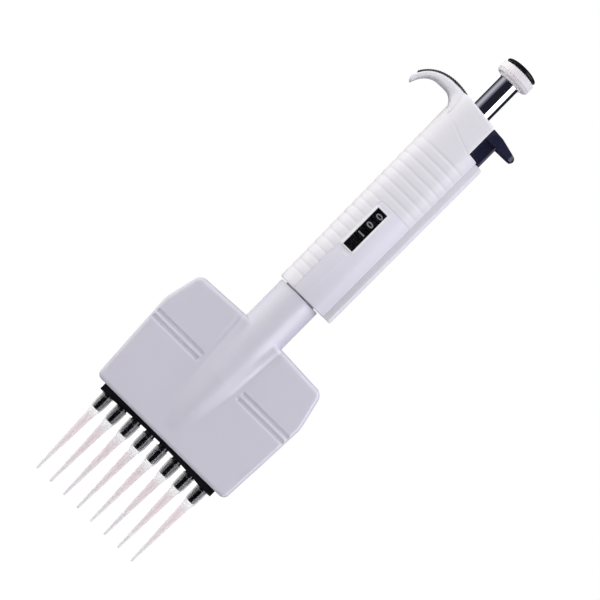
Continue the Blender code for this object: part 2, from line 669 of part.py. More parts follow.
def manifold_parts():
    holder = box("cone_holder", (-35.9, 35.9), (-6.3, 6.3), (HOLDER_LOW, HOLDER_HIGH))
    seal = box("seal_strip", (-35.8, 35.8), (-5.2, 5.2), (BARREL_TOP + GAP, SEAL_TOP))
    bar = box("piston_bar", (-35.5, 35.5), (-4.0, 4.0), (PISTON_BAR_LOW, PISTON_BAR_HIGH))
    for x in channel_x():
        cut(holder, turned("hole", [(0, 50), (4.0, 50), (4.0, 70), (0, 70)], (x, 0), SMALL_ROUND))
        cut(seal, turned("hole", [(0, 70), (3.1, 70), (3.1, 90), (0, 90)], (x, 0), SMALL_ROUND))
        cut(bar, turned("hole", [(0, 90), (1.7, 90), (1.7, 110), (0, 110)], (x, 0), SMALL_ROUND))
    for x, z in SCREW_PLACES[2:]:
        cut(holder, plate_xz("thread", circle(x, z, 1.15), 4.3, 9.0))
    finish(holder, "manifold", "white_plastic", (0, 0, HOLDER_LOW))
    finish(seal, "manifold", "black_rubber", (0, 0, BARREL_TOP))
    finish(bar, "pistons", "steel", (0, 0, PISTON_BAR_LOW))
    for index, x in enumerate(channel_x()):
        tip_cone(index + 1, x)
        piston(index + 1, x)
        tip(index + 1, x)
    profile = [(0, 150.0), (3.2, 150.0), (3.2, 147.6), (2.6, 147.0), (2.6, 106.0), (1.6, 105.0)]
    profile += [(1.6, PISTON_BAR_HIGH + GAP), (0, PISTON_BAR_HIGH + GAP)]
    finish(turned("push_rod", profile, segments=16), "pistons", "steel", (0, 0, PISTON_BAR_HIGH))


def tip_cone(number, x):
    """A barrel whose flange rests on the holder, and below it the tapered cone that a tip grips."""
    flange = HOLDER_HIGH + GAP
    outside = [(1.95, CONE_END), (2.65, 48.0), (2.75, 54.6), (3.7, 55.6), (3.7, flange)]
    outside += [(4.3, flange), (4.3, 63.6), (3.7, 63.6), (3.7, BARREL_TOP)]
    bore = PISTON_R + 0.15
    inside = [(bore, BARREL_TOP), (bore, 58.0), (0.9, 57.0), (0.9, CONE_END)]
    cone = turned("tip_cone_%d" % number, outside + inside, (x, 0), SMALL_ROUND, bored=True)
    return finish(cone, "manifold", "black_plastic", (x, 0, CONE_END))


def piston(number, x):
    head, neck = PISTON_BAR_HIGH + GAP, PISTON_BAR_LOW - GAP
    profile = [(0, head + 1.3), (2.5, head + 1.3), (2.5, head), (1.4, head), (1.4, neck)]
    profile += [(PISTON_R, neck - 0.4), (PISTON_R, 73.0), (0, 73.0)]
    made = turned("piston_%d" % number, profile, (x, 0), SMALL_ROUND)
    return finish(made, "pistons", "steel", (x, 0, neck))


def tip(number, x):
    """A disposable tip: a collar that grips the cone, then a long taper down to the orifice."""
    outside = [(0.55, 0.0), (2.6, 36.5), (3.2, 41.0), (TIP_RIM_R, TIP_LENGTH)]
    inside = [(2.95, TIP_LENGTH), (2.5, 41.0), (2.1, 36.5), (0.3, 0.0)]
    made = turned("tip_%d" % number, outside + inside, (x, 0), SMALL_ROUND, bored=True)
    return finish(made, "tips", "tip_plastic", (x, 0, 0))


# Assembly -------------------------------------------------------------------------------------------
for leftover in list(bpy.data.objects):
    bpy.data.objects.remove(leftover)

add_body("handle", height=HANDLE_BOTTOM)
add_body("blowout", "handle", BLOWOUT_RING_TOP)
add_body("plunger", "blowout", THRUST_TOP)
add_body("knob", "plunger", KNOB_BOTTOM)
for ring_name in ("ones", "tens", "hundreds"):
    add_body(ring_name + "_ring", "handle", WINDOW_LOW)
add_body("ejector", "handle", SHOULDER)
add_body("manifold", "handle", NECK_TOP)
add_body("pistons", "plunger", PISTON_BAR_HIGH)
add_body("ejector_yoke", "manifold", YOKE_BAR_LOW)
add_body("tips", "manifold", TIP_LENGTH)

handle_shell()
hook_pad()
label_panel()
display_lens()
ejector_cover()
ring_piece("top_bush", "handle", "white_plastic", SLEEVE_R + GAP, UPPER_BORE - GAP, 256.0, 263.7)
ring_piece("spring_seat", "handle", "white_plastic", 2.6, HANDLE_BORE - GAP, SEAT_TOP - 2.6, SEAT_TOP)
ring_piece("swivel_bush", "handle", "white_plastic", SPIGOT_R + GAP, HANDLE_BORE - GAP, 147.2, 154.3)
counter_frame()
digit_rings()
plunger_parts()
knob_parts()
ejector_button()
ejector_parts()
ejector_yoke()
ejector_plate()
manifold_casing()
manifold_parts()
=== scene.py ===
"""The looks of the eight-channel pipette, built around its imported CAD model.

Lengths are millimetres in the frame of the CAD model: +Z up the pipette's axis from the tip orifices,
-Y towards the display side, -X towards the finger hook and +X towards the tip ejector.
"""

import json
import math

import bmesh
import bpy
import numpy as np
from mathutils import Matrix, Vector


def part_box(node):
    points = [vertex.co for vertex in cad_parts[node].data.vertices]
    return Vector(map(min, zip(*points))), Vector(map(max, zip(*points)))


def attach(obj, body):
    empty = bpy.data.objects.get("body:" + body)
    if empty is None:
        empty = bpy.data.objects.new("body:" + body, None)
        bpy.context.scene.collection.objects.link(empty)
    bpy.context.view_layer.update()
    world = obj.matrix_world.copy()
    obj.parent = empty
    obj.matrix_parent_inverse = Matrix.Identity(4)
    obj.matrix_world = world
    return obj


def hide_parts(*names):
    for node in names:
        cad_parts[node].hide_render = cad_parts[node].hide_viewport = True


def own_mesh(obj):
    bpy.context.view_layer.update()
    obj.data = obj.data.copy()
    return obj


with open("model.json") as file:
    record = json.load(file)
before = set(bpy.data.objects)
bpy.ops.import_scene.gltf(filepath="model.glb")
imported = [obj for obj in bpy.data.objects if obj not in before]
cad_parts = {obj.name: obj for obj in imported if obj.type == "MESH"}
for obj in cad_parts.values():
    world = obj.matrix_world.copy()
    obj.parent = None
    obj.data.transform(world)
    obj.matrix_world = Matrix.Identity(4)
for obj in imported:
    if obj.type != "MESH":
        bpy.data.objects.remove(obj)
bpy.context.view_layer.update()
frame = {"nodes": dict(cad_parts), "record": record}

MM = 0.001


def node_box(node):
    """The lowest and highest corner of a CAD node, in millimetres."""
    low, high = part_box(node)
    return low / MM, high / MM


# --- Dimensions that the frame gives ---
HANDLE_BOTTOM = node_box("handle_shell")[0].z
SHOULDER = node_box("ejector_cover")[1].z + 0.5
MANIFOLD_BOTTOM = node_box("manifold_front")[0].z
FLAT = node_box("case_screw_3")[1].y + 0.2  # how far the manifold's flat faces stand off its middle
NECK_TOP = 146.0
NECK_R = 11.7
KNOB_BOTTOM = node_box("knob")[0].z
KNOB_TOP = node_box("knob_insert")[1].z
SLEEVE_BOTTOM = node_box("plunger_sleeve")[0].z
SLEEVE_R = 5.45
CHANNEL_X = [sum(c.x for c in node_box("tip_%d" % n)) / 2 for n in range(1, 9)]
TIP_LENGTH = node_box("tip_1")[1].z

# --- Dimensions of the fine surfaces ---
HANDLE_TOP = 269.3
TOP_SLOPE = 0.123
HANDLE_CENTRE_X = 1.0
HANDLE_HALF_X = 14.8
HANDLE_HALF_Y = 12.97
HANDLE_POWER = 2.6
HANDLE_COLUMNS = 176
NOTCH_X = 9.7
GRIP_PITCH = 5.06
GRIP_TOP = 239.8
GRIP_LOW = 152.0
GRIP_DEPTH = 0.26
GRIP_SPREAD = 0.72
HANDLE_BORE = 10.9
UPPER_BORE = 8.2
TOP_HOLE = 6.0
BORE_CEILING = 247.7
UPPER_BORE_TOP = 264.0
STRAIGHT_TOP = 262.0  # above it the rows of the handle's skin lean over to the sloping top
TOP_ROUND = 1.6
ROD_X = 15.0
PANEL_TOP = 205.0
PANEL_LEFT = -4.9
PANEL_RIGHT = 15.1
WINDOW_HALF = 2.95
WINDOW_LOW = 177.9
WINDOW_HIGH = 201.6
HOOK_HALF_DEPTH = 6.5
HOOK_TOP = ((-9.0, 268.5), (-19.6, 271.7), (-31.5, 269.6), (-35.9, 258.2))
KNOB_R = 9.3
CAP_R = 8.6


# --- Mesh helpers ---
def tidy(mesh, angle=35.0):
    """Outward normals, and smooth shading that breaks at edges sharper than the angle."""
    shape = bmesh.new()
    shape.from_mesh(mesh)
    bmesh.ops.recalc_face_normals(shape, faces=shape.faces)
    shape.to_mesh(mesh)
    shape.free()
    mesh.shade_smooth()
    mesh.set_sharp_from_angle(angle=math.radians(angle))


def solid(name, points, faces, angle=35.0):
    """An object from points in millimetres."""
    mesh = bpy.data.meshes.new(name)
    mesh.from_pydata((np.asarray(points, float) * MM).tolist(), [], [tuple(map(int, f)) for f in faces])
    tidy(mesh, angle)
    return added(name, mesh)


def added(name, data):
    """A new object in the scene."""
    made = bpy.data.objects.new(name, data)
    bpy.context.scene.collection.objects.link(made)
    return made


def place(made, body, materials, *stands_for):
    """Puts a piece on its body with its materials, looks up the record slot of its first material
    without keeping it, and lets it stand for CAD nodes.
    """
    made.data.materials.clear()
    for material in materials:
        made.data.materials.append(material)
    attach(made, body)
    next(slot for slot, members in SLOTS.items() if materials[0] in members)
    if stands_for:
        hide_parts(*stands_for)
    return made


def bake(made):
    """Applies an object's modifiers to its mesh."""
    graph = bpy.context.evaluated_depsgraph_get()
    mesh = bpy.data.meshes.new_from_object(made.evaluated_get(graph))
    made.modifiers.clear()
    made.data = mesh
    return made


def bevel(made, width, segments=3, angle=30.0):
    """Rounds an object's sharp edges."""
    modifier = made.modifiers.new("bevel", "BEVEL")
    modifier.width = width * MM
    modifier.segments = segments
    modifier.limit_method = "ANGLE"
    modifier.angle_limit = math.radians(angle)
    return bake(made)


def boolean(made, operation, *others):
    """Applies Booleans to an object and removes the helpers."""
    for other in others:
        modifier = made.modifiers.new(operation, "BOOLEAN")
        modifier.operation = operation
        modifier.solver = "EXACT"
        modifier.object = other
        bake(made)
        bpy.data.objects.remove(other)
    return made


def cut(made, *others):
    return boolean(made, "DIFFERENCE", *others)


def stitched(rows, columns, closed_rows=False):
    """Quads over a grid of points whose columns close round, and whose rows do too if asked."""
    faces = []
    for row in range(rows if closed_rows else rows - 1):
        start, above = row * columns, (row + 1) % rows * columns
        for column in range(columns):
            after = (column + 1) % columns
            faces.append((start + column, start + after, above + after, above + column))
    return faces


def lofted(name, sections, angle=35.0):
    """The solid through equal-length closed sections, capped at both ends."""
    count = len(sections[0])
    points = [p for section in sections for p in section]
    faces = stitched(len(sections), count)
    faces.append(tuple(range(count)))
    faces.append(tuple(range(len(points) - count, len(points))))
    return solid(name, points, faces, angle)


def turned(name, profile, segments=64, centre=(0.0, 0.0), bored=True, wave=None, angle=35.0):
    """A solid of revolution. wave(angle, radius, height) changes the radius, as for knurls and ribs."""
    points, rings = [], []
    turn = [math.tau * step / segments for step in range(segments)]
    for radius, height in profile:
        if radius < 1e-6:
            rings.append([len(points)])
            points.append((centre[0], centre[1], height))
            continue
        rings.append(list(range(len(points), len(points) + segments)))
        for a in turn:
            r = radius + (wave(a, radius, height) if wave else 0.0)
            points.append((centre[0] + r * math.cos(a), centre[1] + r * math.sin(a), height))
    faces = []
    for low, high in zip(rings, rings[1:] + rings[:1] if bored else rings[1:]):
        for step in range(segments):
            after = (step + 1) % segments
            if len(low) == 1:
                faces.append((low[0], high[step], high[after]))
            elif len(high) == 1:
                faces.append((low[step], low[after], high[0]))
            else:
                faces.append((low[step], low[after], high[after], high[step]))
    return solid(name, points, faces, angle)


def rounded(corners, steps=6):
    """An outline whose corners, each (x, y, radius), are arcs tangent to both neighbouring sides."""
    outline = []
    for index, (x, y, radius) in enumerate(corners):
        here = Vector((x, y))
        if radius == 0:
            outline.append((x, y))
            continue
        before = (Vector(corners[index - 1][:2]) - here).normalized()
        after = (Vector(corners[(index + 1) % len(corners)][:2]) - here).normalized()
        half = before.angle(after) / 2
        centre = here + (before + after).normalized() * radius / math.sin(half)
        start = here + before * radius / math.tan(half) - centre
        turn = start.angle_signed(here + after * radius / math.tan(half) - centre)
        for step in range(steps + 1):
            a = -turn * step / steps
            cos, sin = math.cos(a), math.sin(a)
            across, up = start.x * cos - start.y * sin, start.x * sin + start.y * cos
            outline.append((centre.x + across, centre.y + up))
    return outline


def plate_xz(name, outline, y_low, y_high):
    """An (x, z) outline with its thickness along Y."""
    return lofted(name, [[(x, y, z) for x, z in outline] for y in (y_low, y_high)])


def plate_xy(name, outline, z_low, z_high):
    """An (x, y) outline with its thickness along Z."""
    return lofted(name, [[(x, y, z) for x, y in outline] for z in (z_low, z_high)])


def block(name, x, y, z):
    """A block between three (low, high) pairs."""
    return plate_xz(name, [(x[0], z[0]), (x[1], z[0]), (x[1], z[1]), (x[0], z[1])], *y)


def drill(made, radius, low, high, centre, segments=32):
    """Cuts an upright round hole."""
    profile = [(0, low), (radius, low), (radius, high), (0, high)]
    return cut(made, turned("drill", profile, segments, centre, bored=False))


def bezier(ends, count):
    """Points of the cubic curve of four control points."""
    t = np.linspace(0, 1, count)[:, None]
    a, b, c, d = (np.array(p, float) for p in ends)
    return (1 - t) ** 3 * a + 3 * t * (1 - t) ** 2 * b + 3 * t**2 * (1 - t) * c + t**3 * d


def smoothstep(low, high, value):
    t = np.clip((value - low) / (high - low), 0, 1)
    return t * t * (3 - 2 * t)


# --- Implicit surfaces ---
def smooth_min(a, b, radius):
    """The union of two distance fields with a fillet."""
    h = np.clip(0.5 + 0.5 * (b - a) / radius, 0, 1)
    return b + (a - b) * h - radius * h * (1 - h)


def cell_edges():
    """The twelve edges of a grid cell as pairs of corner offsets."""
    found = []
    for axis in range(3):
        for first in (0, 1):
            for second in (0, 1):
                low = [0, 0, 0]
                low[(axis + 1) % 3], low[(axis + 2) % 3] = first, second
                high = list(low)
                high[axis] = 1
                found.append((tuple(low), tuple(high)))
    return found


def surface_of(name, field, xs, ys, zs, angle):
    """The zero surface of field(x, y, z), negative inside: one point per grid cell that it crosses."""
    axes = [np.asarray(a, float) for a in (xs, ys, zs)]
    value = field(*np.meshgrid(*axes, indexing="ij"))
    inside = value < 0
    shape = np.array(value.shape) - 1

    def corner(array, offset):
        return array[tuple(slice(o, o + n) for o, n in zip(offset, shape))]

    count = sum(corner(inside, (i, j, k)).astype(int) for i in (0, 1) for j in (0, 1) for k in (0, 1))
    mixed = (count > 0) & (count < 8)
    index = np.full(shape, -1)
    index[mixed] = np.arange(mixed.sum())
    cells = np.argwhere(mixed)
    total = np.zeros((len(cells), 3))
    weight = np.zeros(len(cells))
    for low, high in cell_edges():
        a = value[tuple((cells + low).T)]
        b = value[tuple((cells + high).T)]
        crossed = (a < 0) != (b < 0)
        share = np.where(crossed, a / np.where(crossed, a - b, 1.0), 0.0)[:, None]
        start = np.stack([axes[k][cells[:, k] + low[k]] for k in range(3)], 1)
        end = np.stack([axes[k][cells[:, k] + high[k]] for k in range(3)], 1)
        total += np.where(crossed[:, None], start + share * (end - start), 0.0)
        weight += crossed
    points = settle(field, total / weight[:, None])
    return solid(name, points, crossing_quads(inside, index), angle)


def settle(field, points, rounds=3, reach=0.12):
    """Moves points onto the zero surface along its gradient."""
    step = 0.02
    for _ in range(rounds):
        value = field(*points.T)
        ahead = [field(*(points + step * np.eye(3)[k]).T) for k in range(3)]
        slope = np.stack([(there - value) / step for there in ahead], axis=1)
        size = np.maximum((slope**2).sum(axis=1), 0.05)
        move = -(value / size)[:, None] * slope
        length = np.maximum(np.linalg.norm(move, axis=1, keepdims=True), 1e-9)
        points = points + move * np.minimum(1.0, reach / length)
    return points


def crossing_quads(inside, index):
    """One quad round each grid edge that the surface crosses."""
    quads = []
    for axis in range(3):
        u, v = (axis + 1) % 3, (axis + 2) % 3
        low, high = [slice(None)] * 3, [slice(None)] * 3
        low[axis], high[axis] = slice(0, -1), slice(1, None)
        change = inside[tuple(low)] != inside[tuple(high)]
        at = np.argwhere(change)
        at = at[(at[:, u] > 0) & (at[:, v] > 0)]
        at = at[(at[:, u] < index.shape[u]) & (at[:, v] < index.shape[v])]
        corners = []
        for du, dv in ((-1, -1), (0, -1), (0, 0), (-1, 0)):
            cell = at.copy()
            cell[:, u] += du
            cell[:, v] += dv
            corners.append(index[tuple(cell.T)])
        found = np.stack(corners, 1)
        outward = inside[tuple(at.T)]
        found[~outward] = found[~outward][:, ::-1]
        quads.append(found)
    return np.concatenate(quads)


# --- Materials ---
class Nodes:
    """A thin layer over one node tree."""

    def __init__(self, tree):
        self.tree = tree

    def add(self, kind, settings=None, **inputs):
        node = self.tree.nodes.new(kind)
        for key, value in (settings or {}).items():
            setattr(node, key, value)
        for key, value in inputs.items():
            self.put(node, key.replace("_", " "), value)
        return node

    def put(self, node, socket, value):
        target = node.inputs[socket]
        if isinstance(value, bpy.types.NodeSocket):
            self.tree.links.new(value, target)
        else:
            target.default_value = value

    def math(self, operation, a, b=0.0):
        node = self.add("ShaderNodeMath", {"operation": operation})
        self.put(node, 0, a)
        self.put(node, 1, b)
        return node.outputs[0]

    def noise(self, where, scale, detail=2.0, roughness=0.5):
        settings = {"Scale": scale, "Detail": detail, "Roughness": roughness}
        return self.add("ShaderNodeTexNoise", Vector=where, **settings).outputs["Fac"]

    def stretch(self, value, low, high, to_low, to_high):
        spans = {"From_Min": low, "From_Max": high, "To_Min": to_low, "To_Max": to_high}
        return self.add("ShaderNodeMapRange", Value=value, **spans).outputs[0]

    def mix(self, share, a, b, kind="RGBA"):
        first, result = (6, 2) if kind == "RGBA" else (2, 0)
        node = self.add("ShaderNodeMix", {"data_type": kind})
        for socket, value in ((0, share), (first, a), (first + 1, b)):
            self.put(node, socket, value)
        return node.outputs[result]

    def dress(self, shader, colour, roughness):
        self.put(shader, "Base Color", colour)
        self.put(shader, "Roughness", roughness)

    def bump(self, shader, height, strength, distance=0.0001):
        node = self.add("ShaderNodeBump", Strength=strength, Distance=distance, Height=height)
        self.put(shader, "Normal", node.outputs[0])


def new_material(name):
    """An empty Principled material: itself, its node tree, its shader and the object's coordinates."""
    made = bpy.data.materials.new(name)
    made.use_nodes = True
    nodes = Nodes(made.node_tree)
    where = nodes.add("ShaderNodeTexCoord").outputs["Object"]
    return made, nodes, made.node_tree.nodes["Principled BSDF"], where

def tint(colour, factor):
    return tuple(min(1.0, c * factor) for c in colour) + (1.0,)


def moulded(name, colour, roughness, grain, mottle, wear, gloss):
    """Moulded plastic: fine spark-eroded grain, faint flow marks, painted shade in concave hollows,
    lighter rubbed edges.
    """
    made, nodes, shader, where = new_material(name)
    flow = nodes.stretch(nodes.noise(where, 45.0, 3.0), 0.3, 0.7, 0.0, 1.0)
    smudge = nodes.noise(where, 220.0, 4.0, 0.6)
    edge = nodes.add("ShaderNodeNewGeometry").outputs["Pointiness"]
    rubbed = nodes.stretch(edge, 0.52, 0.6, 0.0, wear)
    # Painted shade: concave places (pointiness under a half) are darkened towards 0.62 of the colour,
    # standing in for the shade in creases and grooves.
    hollow = nodes.stretch(edge, 0.49, 0.45, 0.0, 0.5)
    lighter = tuple(c + (1 - c) * 0.35 for c in colour) + (1.0,)
    shade = nodes.mix(flow, tint(colour, 1 - mottle), tint(colour, 1 + mottle))
    shade = nodes.mix(hollow, shade, tint(colour, 0.62))
    uneven = nodes.stretch(smudge, 0.3, 0.75, roughness - 0.05, roughness + 0.07)
    smoother = nodes.math("SUBTRACT", uneven, nodes.math("MULTIPLY", rubbed, 0.25))
    nodes.dress(shader, nodes.mix(rubbed, shade, lighter), smoother)
    nodes.bump(shader, nodes.noise(where, 2600.0), grain)
    shader.inputs["Specular IOR Level"].default_value = gloss
    return made


def metal(name, colour, roughness, scratch):
    """Metal with fine streaks that run round the axis, and a slightly uneven polish."""
    made, nodes, shader, where = new_material(name)
    squeezed = nodes.add("ShaderNodeMapping", Vector=where, Scale=(1.0, 1.0, 30.0))
    streak = nodes.noise(squeezed.outputs[0], 260.0, 4.0, 0.6)
    cloud = nodes.noise(where, 90.0, 3.0)
    polish = nodes.stretch(streak, 0.3, 0.7, roughness * 0.7, roughness * 1.4)
    nodes.dress(shader, nodes.mix(cloud, tint(colour, 0.94), tint(colour, 1.03)), polish)
    nodes.bump(shader, streak, scratch, 0.00005)
    shader.inputs["Metallic"].default_value = 1.0
    return made


def rubber(name, colour):
    """Matt rubber with a coarse grain and a dusty bloom."""
    made, nodes, shader, where = new_material(name)
    bloom = nodes.noise(where, 320.0, 5.0, 0.65)
    dusty = nodes.stretch(bloom, 0.35, 0.75, 0, 0.5)
    shade = nodes.mix(dusty, tint(colour, 1.0), tint(colour, 1.8))
    nodes.dress(shader, shade, nodes.stretch(bloom, 0.3, 0.7, 0.6, 0.8))
    nodes.bump(shader, nodes.noise(where, 3200.0), 0.25)
    return made


def tip_plastic():
    """Natural polypropylene: milky, part see-through, with a faint warm cast that fades downwards, a
    painted sheen towards the silhouettes and a painted highlight on the shoulder.
    """
    made, nodes, shader, where = new_material("tip_polypropylene")
    height = nodes.add("ShaderNodeSeparateXYZ", Vector=where).outputs["Z"]
    facing = nodes.add("ShaderNodeLayerWeight", Blend=0.5).outputs["Facing"]
    flow = nodes.noise(where, 180.0, 3.0)
    upper = nodes.stretch(height, 0.004, 0.026, 0.0, 1.0)
    warm = nodes.mix(upper, (0.93, 0.91, 0.92, 1), (0.98, 0.87, 0.89, 1))
    core = nodes.mix(nodes.stretch(flow, 0.3, 0.7, 0, 0.12), warm, (0.97, 0.95, 0.95, 1))
    collar = nodes.stretch(height, 0.0385, 0.0405, 0.0, 1.0)
    # Painted highlight: the shoulder band just under the collar is whitened and made more see-through.
    shoulder_highlight = nodes.stretch(height, 0.033, 0.038, 0.0, 0.9)
    # Painted sheen: the colour turns near-white and more see-through towards the silhouettes.
    rim = nodes.math("MAXIMUM", nodes.stretch(facing, 0.3, 0.8, 0.0, 1.0), shoulder_highlight)
    shade = nodes.mix(rim, core, (0.98, 0.98, 0.99, 1))
    nodes.dress(shader, shade, nodes.stretch(flow, 0.3, 0.7, 0.16, 0.3))
    ribbed = nodes.stretch(facing, 0.08, 0.7, 0.0, 0.5)
    milky = nodes.stretch(rim, 0.0, 1.0, 0.52, 0.16)
    nodes.put(shader, "Alpha", nodes.mix(collar, milky, ribbed, "FLOAT"))
    nodes.bump(shader, nodes.noise(where, 700.0), 0.04)
    return made


def lens_plastic():
    """Clear window: it lets light through and mirrors a little of the room, with faint wiping marks."""
    made, nodes, shader, where = new_material("lens_clear")
    marks = nodes.noise(where, 500.0, 5.0, 0.7)
    shade = nodes.mix(marks, (0.01, 0.01, 0.012, 1), (0.03, 0.03, 0.035, 1))
    nodes.dress(shader, shade, nodes.stretch(marks, 0.4, 0.8, 0.04, 0.2))
    facing = nodes.add("ShaderNodeLayerWeight", Blend=0.2).outputs["Facing"]
    nodes.put(shader, "Alpha", nodes.stretch(facing, 0.0, 1.0, 0.12, 0.5))
    return made


WHITE = moulded("white_plastic_fine", (0.80, 0.79, 0.83), 0.34, 0.04, 0.012, 0.4, 0.3)
PANEL = moulded("panel_plastic_fine", (0.775, 0.76, 0.835), 0.36, 0.02, 0.012, 0.4, 0.2)
KNOB = moulded("knob_plastic", (0.83, 0.80, 0.83), 0.5, 0.02, 0.02, 0.2, 0.2)
LILAC = moulded("manifold_plastic", (0.70, 0.685, 0.767), 0.38, 0.05, 0.012, 0.35, 0.9)
BLACK = moulded("black_plastic_fine", (0.003, 0.003, 0.005), 0.35, 0.03, 0.2, 0.02, 0.08)
CONE = moulded("cone_plastic", (0.006, 0.006, 0.010), 0.22, 0.03, 0.2, 0.02, 0.5)
CAP = moulded("cap_plastic", (0.003, 0.003, 0.008), 0.25, 0.03, 0.2, 0.02, 0.2)
NAVY = moulded("navy_plastic_fine", (0.016, 0.017, 0.045), 0.26, 0.03, 0.1, 0.05, 0.35)
DIGIT = moulded("digit_print", (0.62, 0.63, 0.65), 0.5, 0.05, 0.08, 0.0, 0.5)
CHROME = metal("chrome_fine", (0.78, 0.78, 0.82), 0.07, 0.02)
STEEL = metal("steel_fine", (0.56, 0.56, 0.58), 0.26, 0.12)
PAD = rubber("grey_rubber_fine", (0.045, 0.045, 0.048))
SEAL = rubber("black_rubber_fine", (0.02, 0.02, 0.021))
TIP = tip_plastic()
LENS = lens_plastic()
SLOTS = {  # each material slot of the record, with the materials that may fill it
    "white_plastic": [WHITE, PANEL, KNOB],
    "grey_plastic": [LILAC],
    "black_plastic": [BLACK, CONE, CAP],
    "navy_plastic": [NAVY],
    "grey_rubber": [PAD],
    "black_rubber": [SEAL],
    "chrome": [CHROME],
    "steel": [STEEL],
    "clear_lens": [LENS],
    "tip_plastic": [TIP],
}


# --- Handle ---
def handle_taper(z):
    return 0.6 * (HANDLE_TOP - z) / (HANDLE_TOP - HANDLE_BOTTOM)


def top_height(x):
    return HANDLE_TOP - TOP_SLOPE * (x + 13.8)


def handle_ring(z, inset):
    """(x, y) and outward normal of evenly spaced points round the handle's section at height z."""
    a = np.linspace(0, math.tau, 1441)[:-1]
    half_x = HANDLE_HALF_X - handle_taper(z)
    half_y = HANDLE_HALF_Y - handle_taper(z)
    x = half_x * np.sign(np.cos(a)) * np.abs(np.cos(a)) ** (2 / HANDLE_POWER)
    y = half_y * np.sign(np.sin(a)) * np.abs(np.sin(a)) ** (2 / HANDLE_POWER)
    steps = np.hypot(np.diff(x, append=x[0]), np.diff(y, append=y[0]))
    length = np.concatenate([[0], np.cumsum(steps)])
    wanted = (np.arange(HANDLE_COLUMNS) + 0.5) / HANDLE_COLUMNS * length[-1]
    x, y = np.append(x, x[0]), np.append(y, y[0])
    points = np.stack([np.interp(wanted, length, x), np.interp(wanted, length, y)], 1)
    along = np.roll(points, -1, 0) - np.roll(points, 1, 0)
    normal = np.stack([along[:, 1], -along[:, 0]], 1) / np.linalg.norm(along, axis=1, keepdims=True)
    return points + [HANDLE_CENTRE_X, 0] - inset * normal, normal


def grip_heights():
    return np.arange(GRIP_TOP, GRIP_LOW, -GRIP_PITCH)


def grip_depth(x, y, z):
    """How deep the grip's grooves, and the crease below the hook, are at a point of the skin."""
    depth = np.zeros_like(x)
    for height in grip_heights():
        ring = GRIP_DEPTH * math.exp(-(((z - height) / GRIP_SPREAD) ** 2))
        if ring < 1e-4:
            continue
        if height < PANEL_TOP - 0.5:
            strip = np.where(y < 0, smoothstep(PANEL_LEFT + 0.6, PANEL_LEFT - 0.6, x), 1.0)
        else:
            strip = np.ones_like(x)
        depth += ring * strip * smoothstep(15.6, 14.6, x)
    line = 249.0 + 5.3 * (np.clip(NOTCH_X - x, 0, 16) / 14.7) ** 1.2
    crease = 0.16 * np.exp(-(((z - line) / 0.35) ** 2)) * smoothstep(-9.0, -4.0, x) * (y < 0)
    return depth + crease * smoothstep(NOTCH_X, NOTCH_X - 1.0, x)


def handle_heights():
    """Heights of the skin's rows: close together at the grooves and the crease, wide apart between."""
    rows = set(np.round(np.arange(HANDLE_BOTTOM + 0.8, STRAIGHT_TOP, 1.7), 3))
    near = np.array([0.15, 0.42, 0.7, 1.0, 1.3])
    for height in grip_heights():
        rows = {r for r in rows if abs(r - height) > 1.45}
        rows |= set(np.round(np.concatenate([height - near, height + near]), 3))
    rows = {r for r in rows if not 247.6 < r < 256.0} | set(np.round(np.arange(248.0, 256.0, 0.35), 3))
    return sorted(rows)


def handle_skin():
    """Rows of points from inside the lower rim, up the outside, over the top and down the bore."""
    rows = []
    low = HANDLE_BOTTOM

    def circle_row(radius, z):
        ring, _ = handle_ring(low, 0)
        unit = ring / np.linalg.norm(ring, axis=1, keepdims=True)
        rows.append(np.column_stack([radius * unit, np.full(len(ring), z)]))

    def section_row(z, inset=0.0, drop=None):
        ring, normal = handle_ring(min(z, HANDLE_TOP), inset)
        x, y = ring.T
        if drop is None:
            depth = grip_depth(x, y, z)
            x, y = x - depth * normal[:, 0], y - depth * normal[:, 1]
            height = np.full_like(x, z)
        else:
            height = top_height(x) - drop
        if z > SHOULDER:
            x = np.minimum(x, NOTCH_X - inset)
        rows.append(np.stack([x, y, height], 1))

    for z in (250.0, 215.0, 180.0, low + 1.0):
        circle_row(HANDLE_BORE, min(z, BORE_CEILING))
    circle_row(HANDLE_BORE + 0.2, low + 0.3)
    section_row(low, 1.3)
    for inset, lift in ((0.55, 0.05), (0.2, 0.25), (0.05, 0.5)):
        section_row(low + lift, inset)
    heights = handle_heights()
    below = [z for z in heights if z < SHOULDER]
    above = [z for z in heights if z > SHOULDER]
    for z in below + [SHOULDER, SHOULDER + 0.001] + above:
        section_row(z)
    ring, _ = handle_ring(HANDLE_TOP, 0)
    for share in np.linspace(0.0, 1.0, 7):
        height = STRAIGHT_TOP + (top_height(ring[:, 0]) - TOP_ROUND - STRAIGHT_TOP) * share
        rows.append(np.stack([np.minimum(ring[:, 0], NOTCH_X), ring[:, 1], height], 1))
    for turn in np.linspace(0.15, 1.0, 7) * math.pi / 2:
        section_row(HANDLE_TOP, 1.4 * (1 - math.cos(turn)), TOP_ROUND - TOP_ROUND * math.sin(turn))
    rim = rows[-1][:, :2]
    unit = rim / np.linalg.norm(rim, axis=1, keepdims=True)
    for share in (0.25, 0.5, 0.75, 0.93, 1.0):
        flat = rim + (unit * (TOP_HOLE + 0.35) - rim) * share
        rows.append(np.column_stack([flat, top_height(flat[:, 0])]))
    for grow, drop in ((0.15, 0.08), (0.02, 0.3), (0.0, 0.8)):
        flat = unit * (TOP_HOLE + grow)
        rows.append(np.column_stack([flat, top_height(flat[:, 0]) - drop]))
    circle_row(TOP_HOLE, UPPER_BORE_TOP)
    circle_row(UPPER_BORE, UPPER_BORE_TOP)
    circle_row(UPPER_BORE, BORE_CEILING)
    return np.concatenate(rows), stitched(len(rows), HANDLE_COLUMNS, closed_rows=True)


def plain_handle(name, inset, low, high):
    """The handle's smooth envelope between two heights."""
    return lofted(name, [[(x, y, z) for x, y in handle_ring(z, inset)[0]] for z in (low, high)])


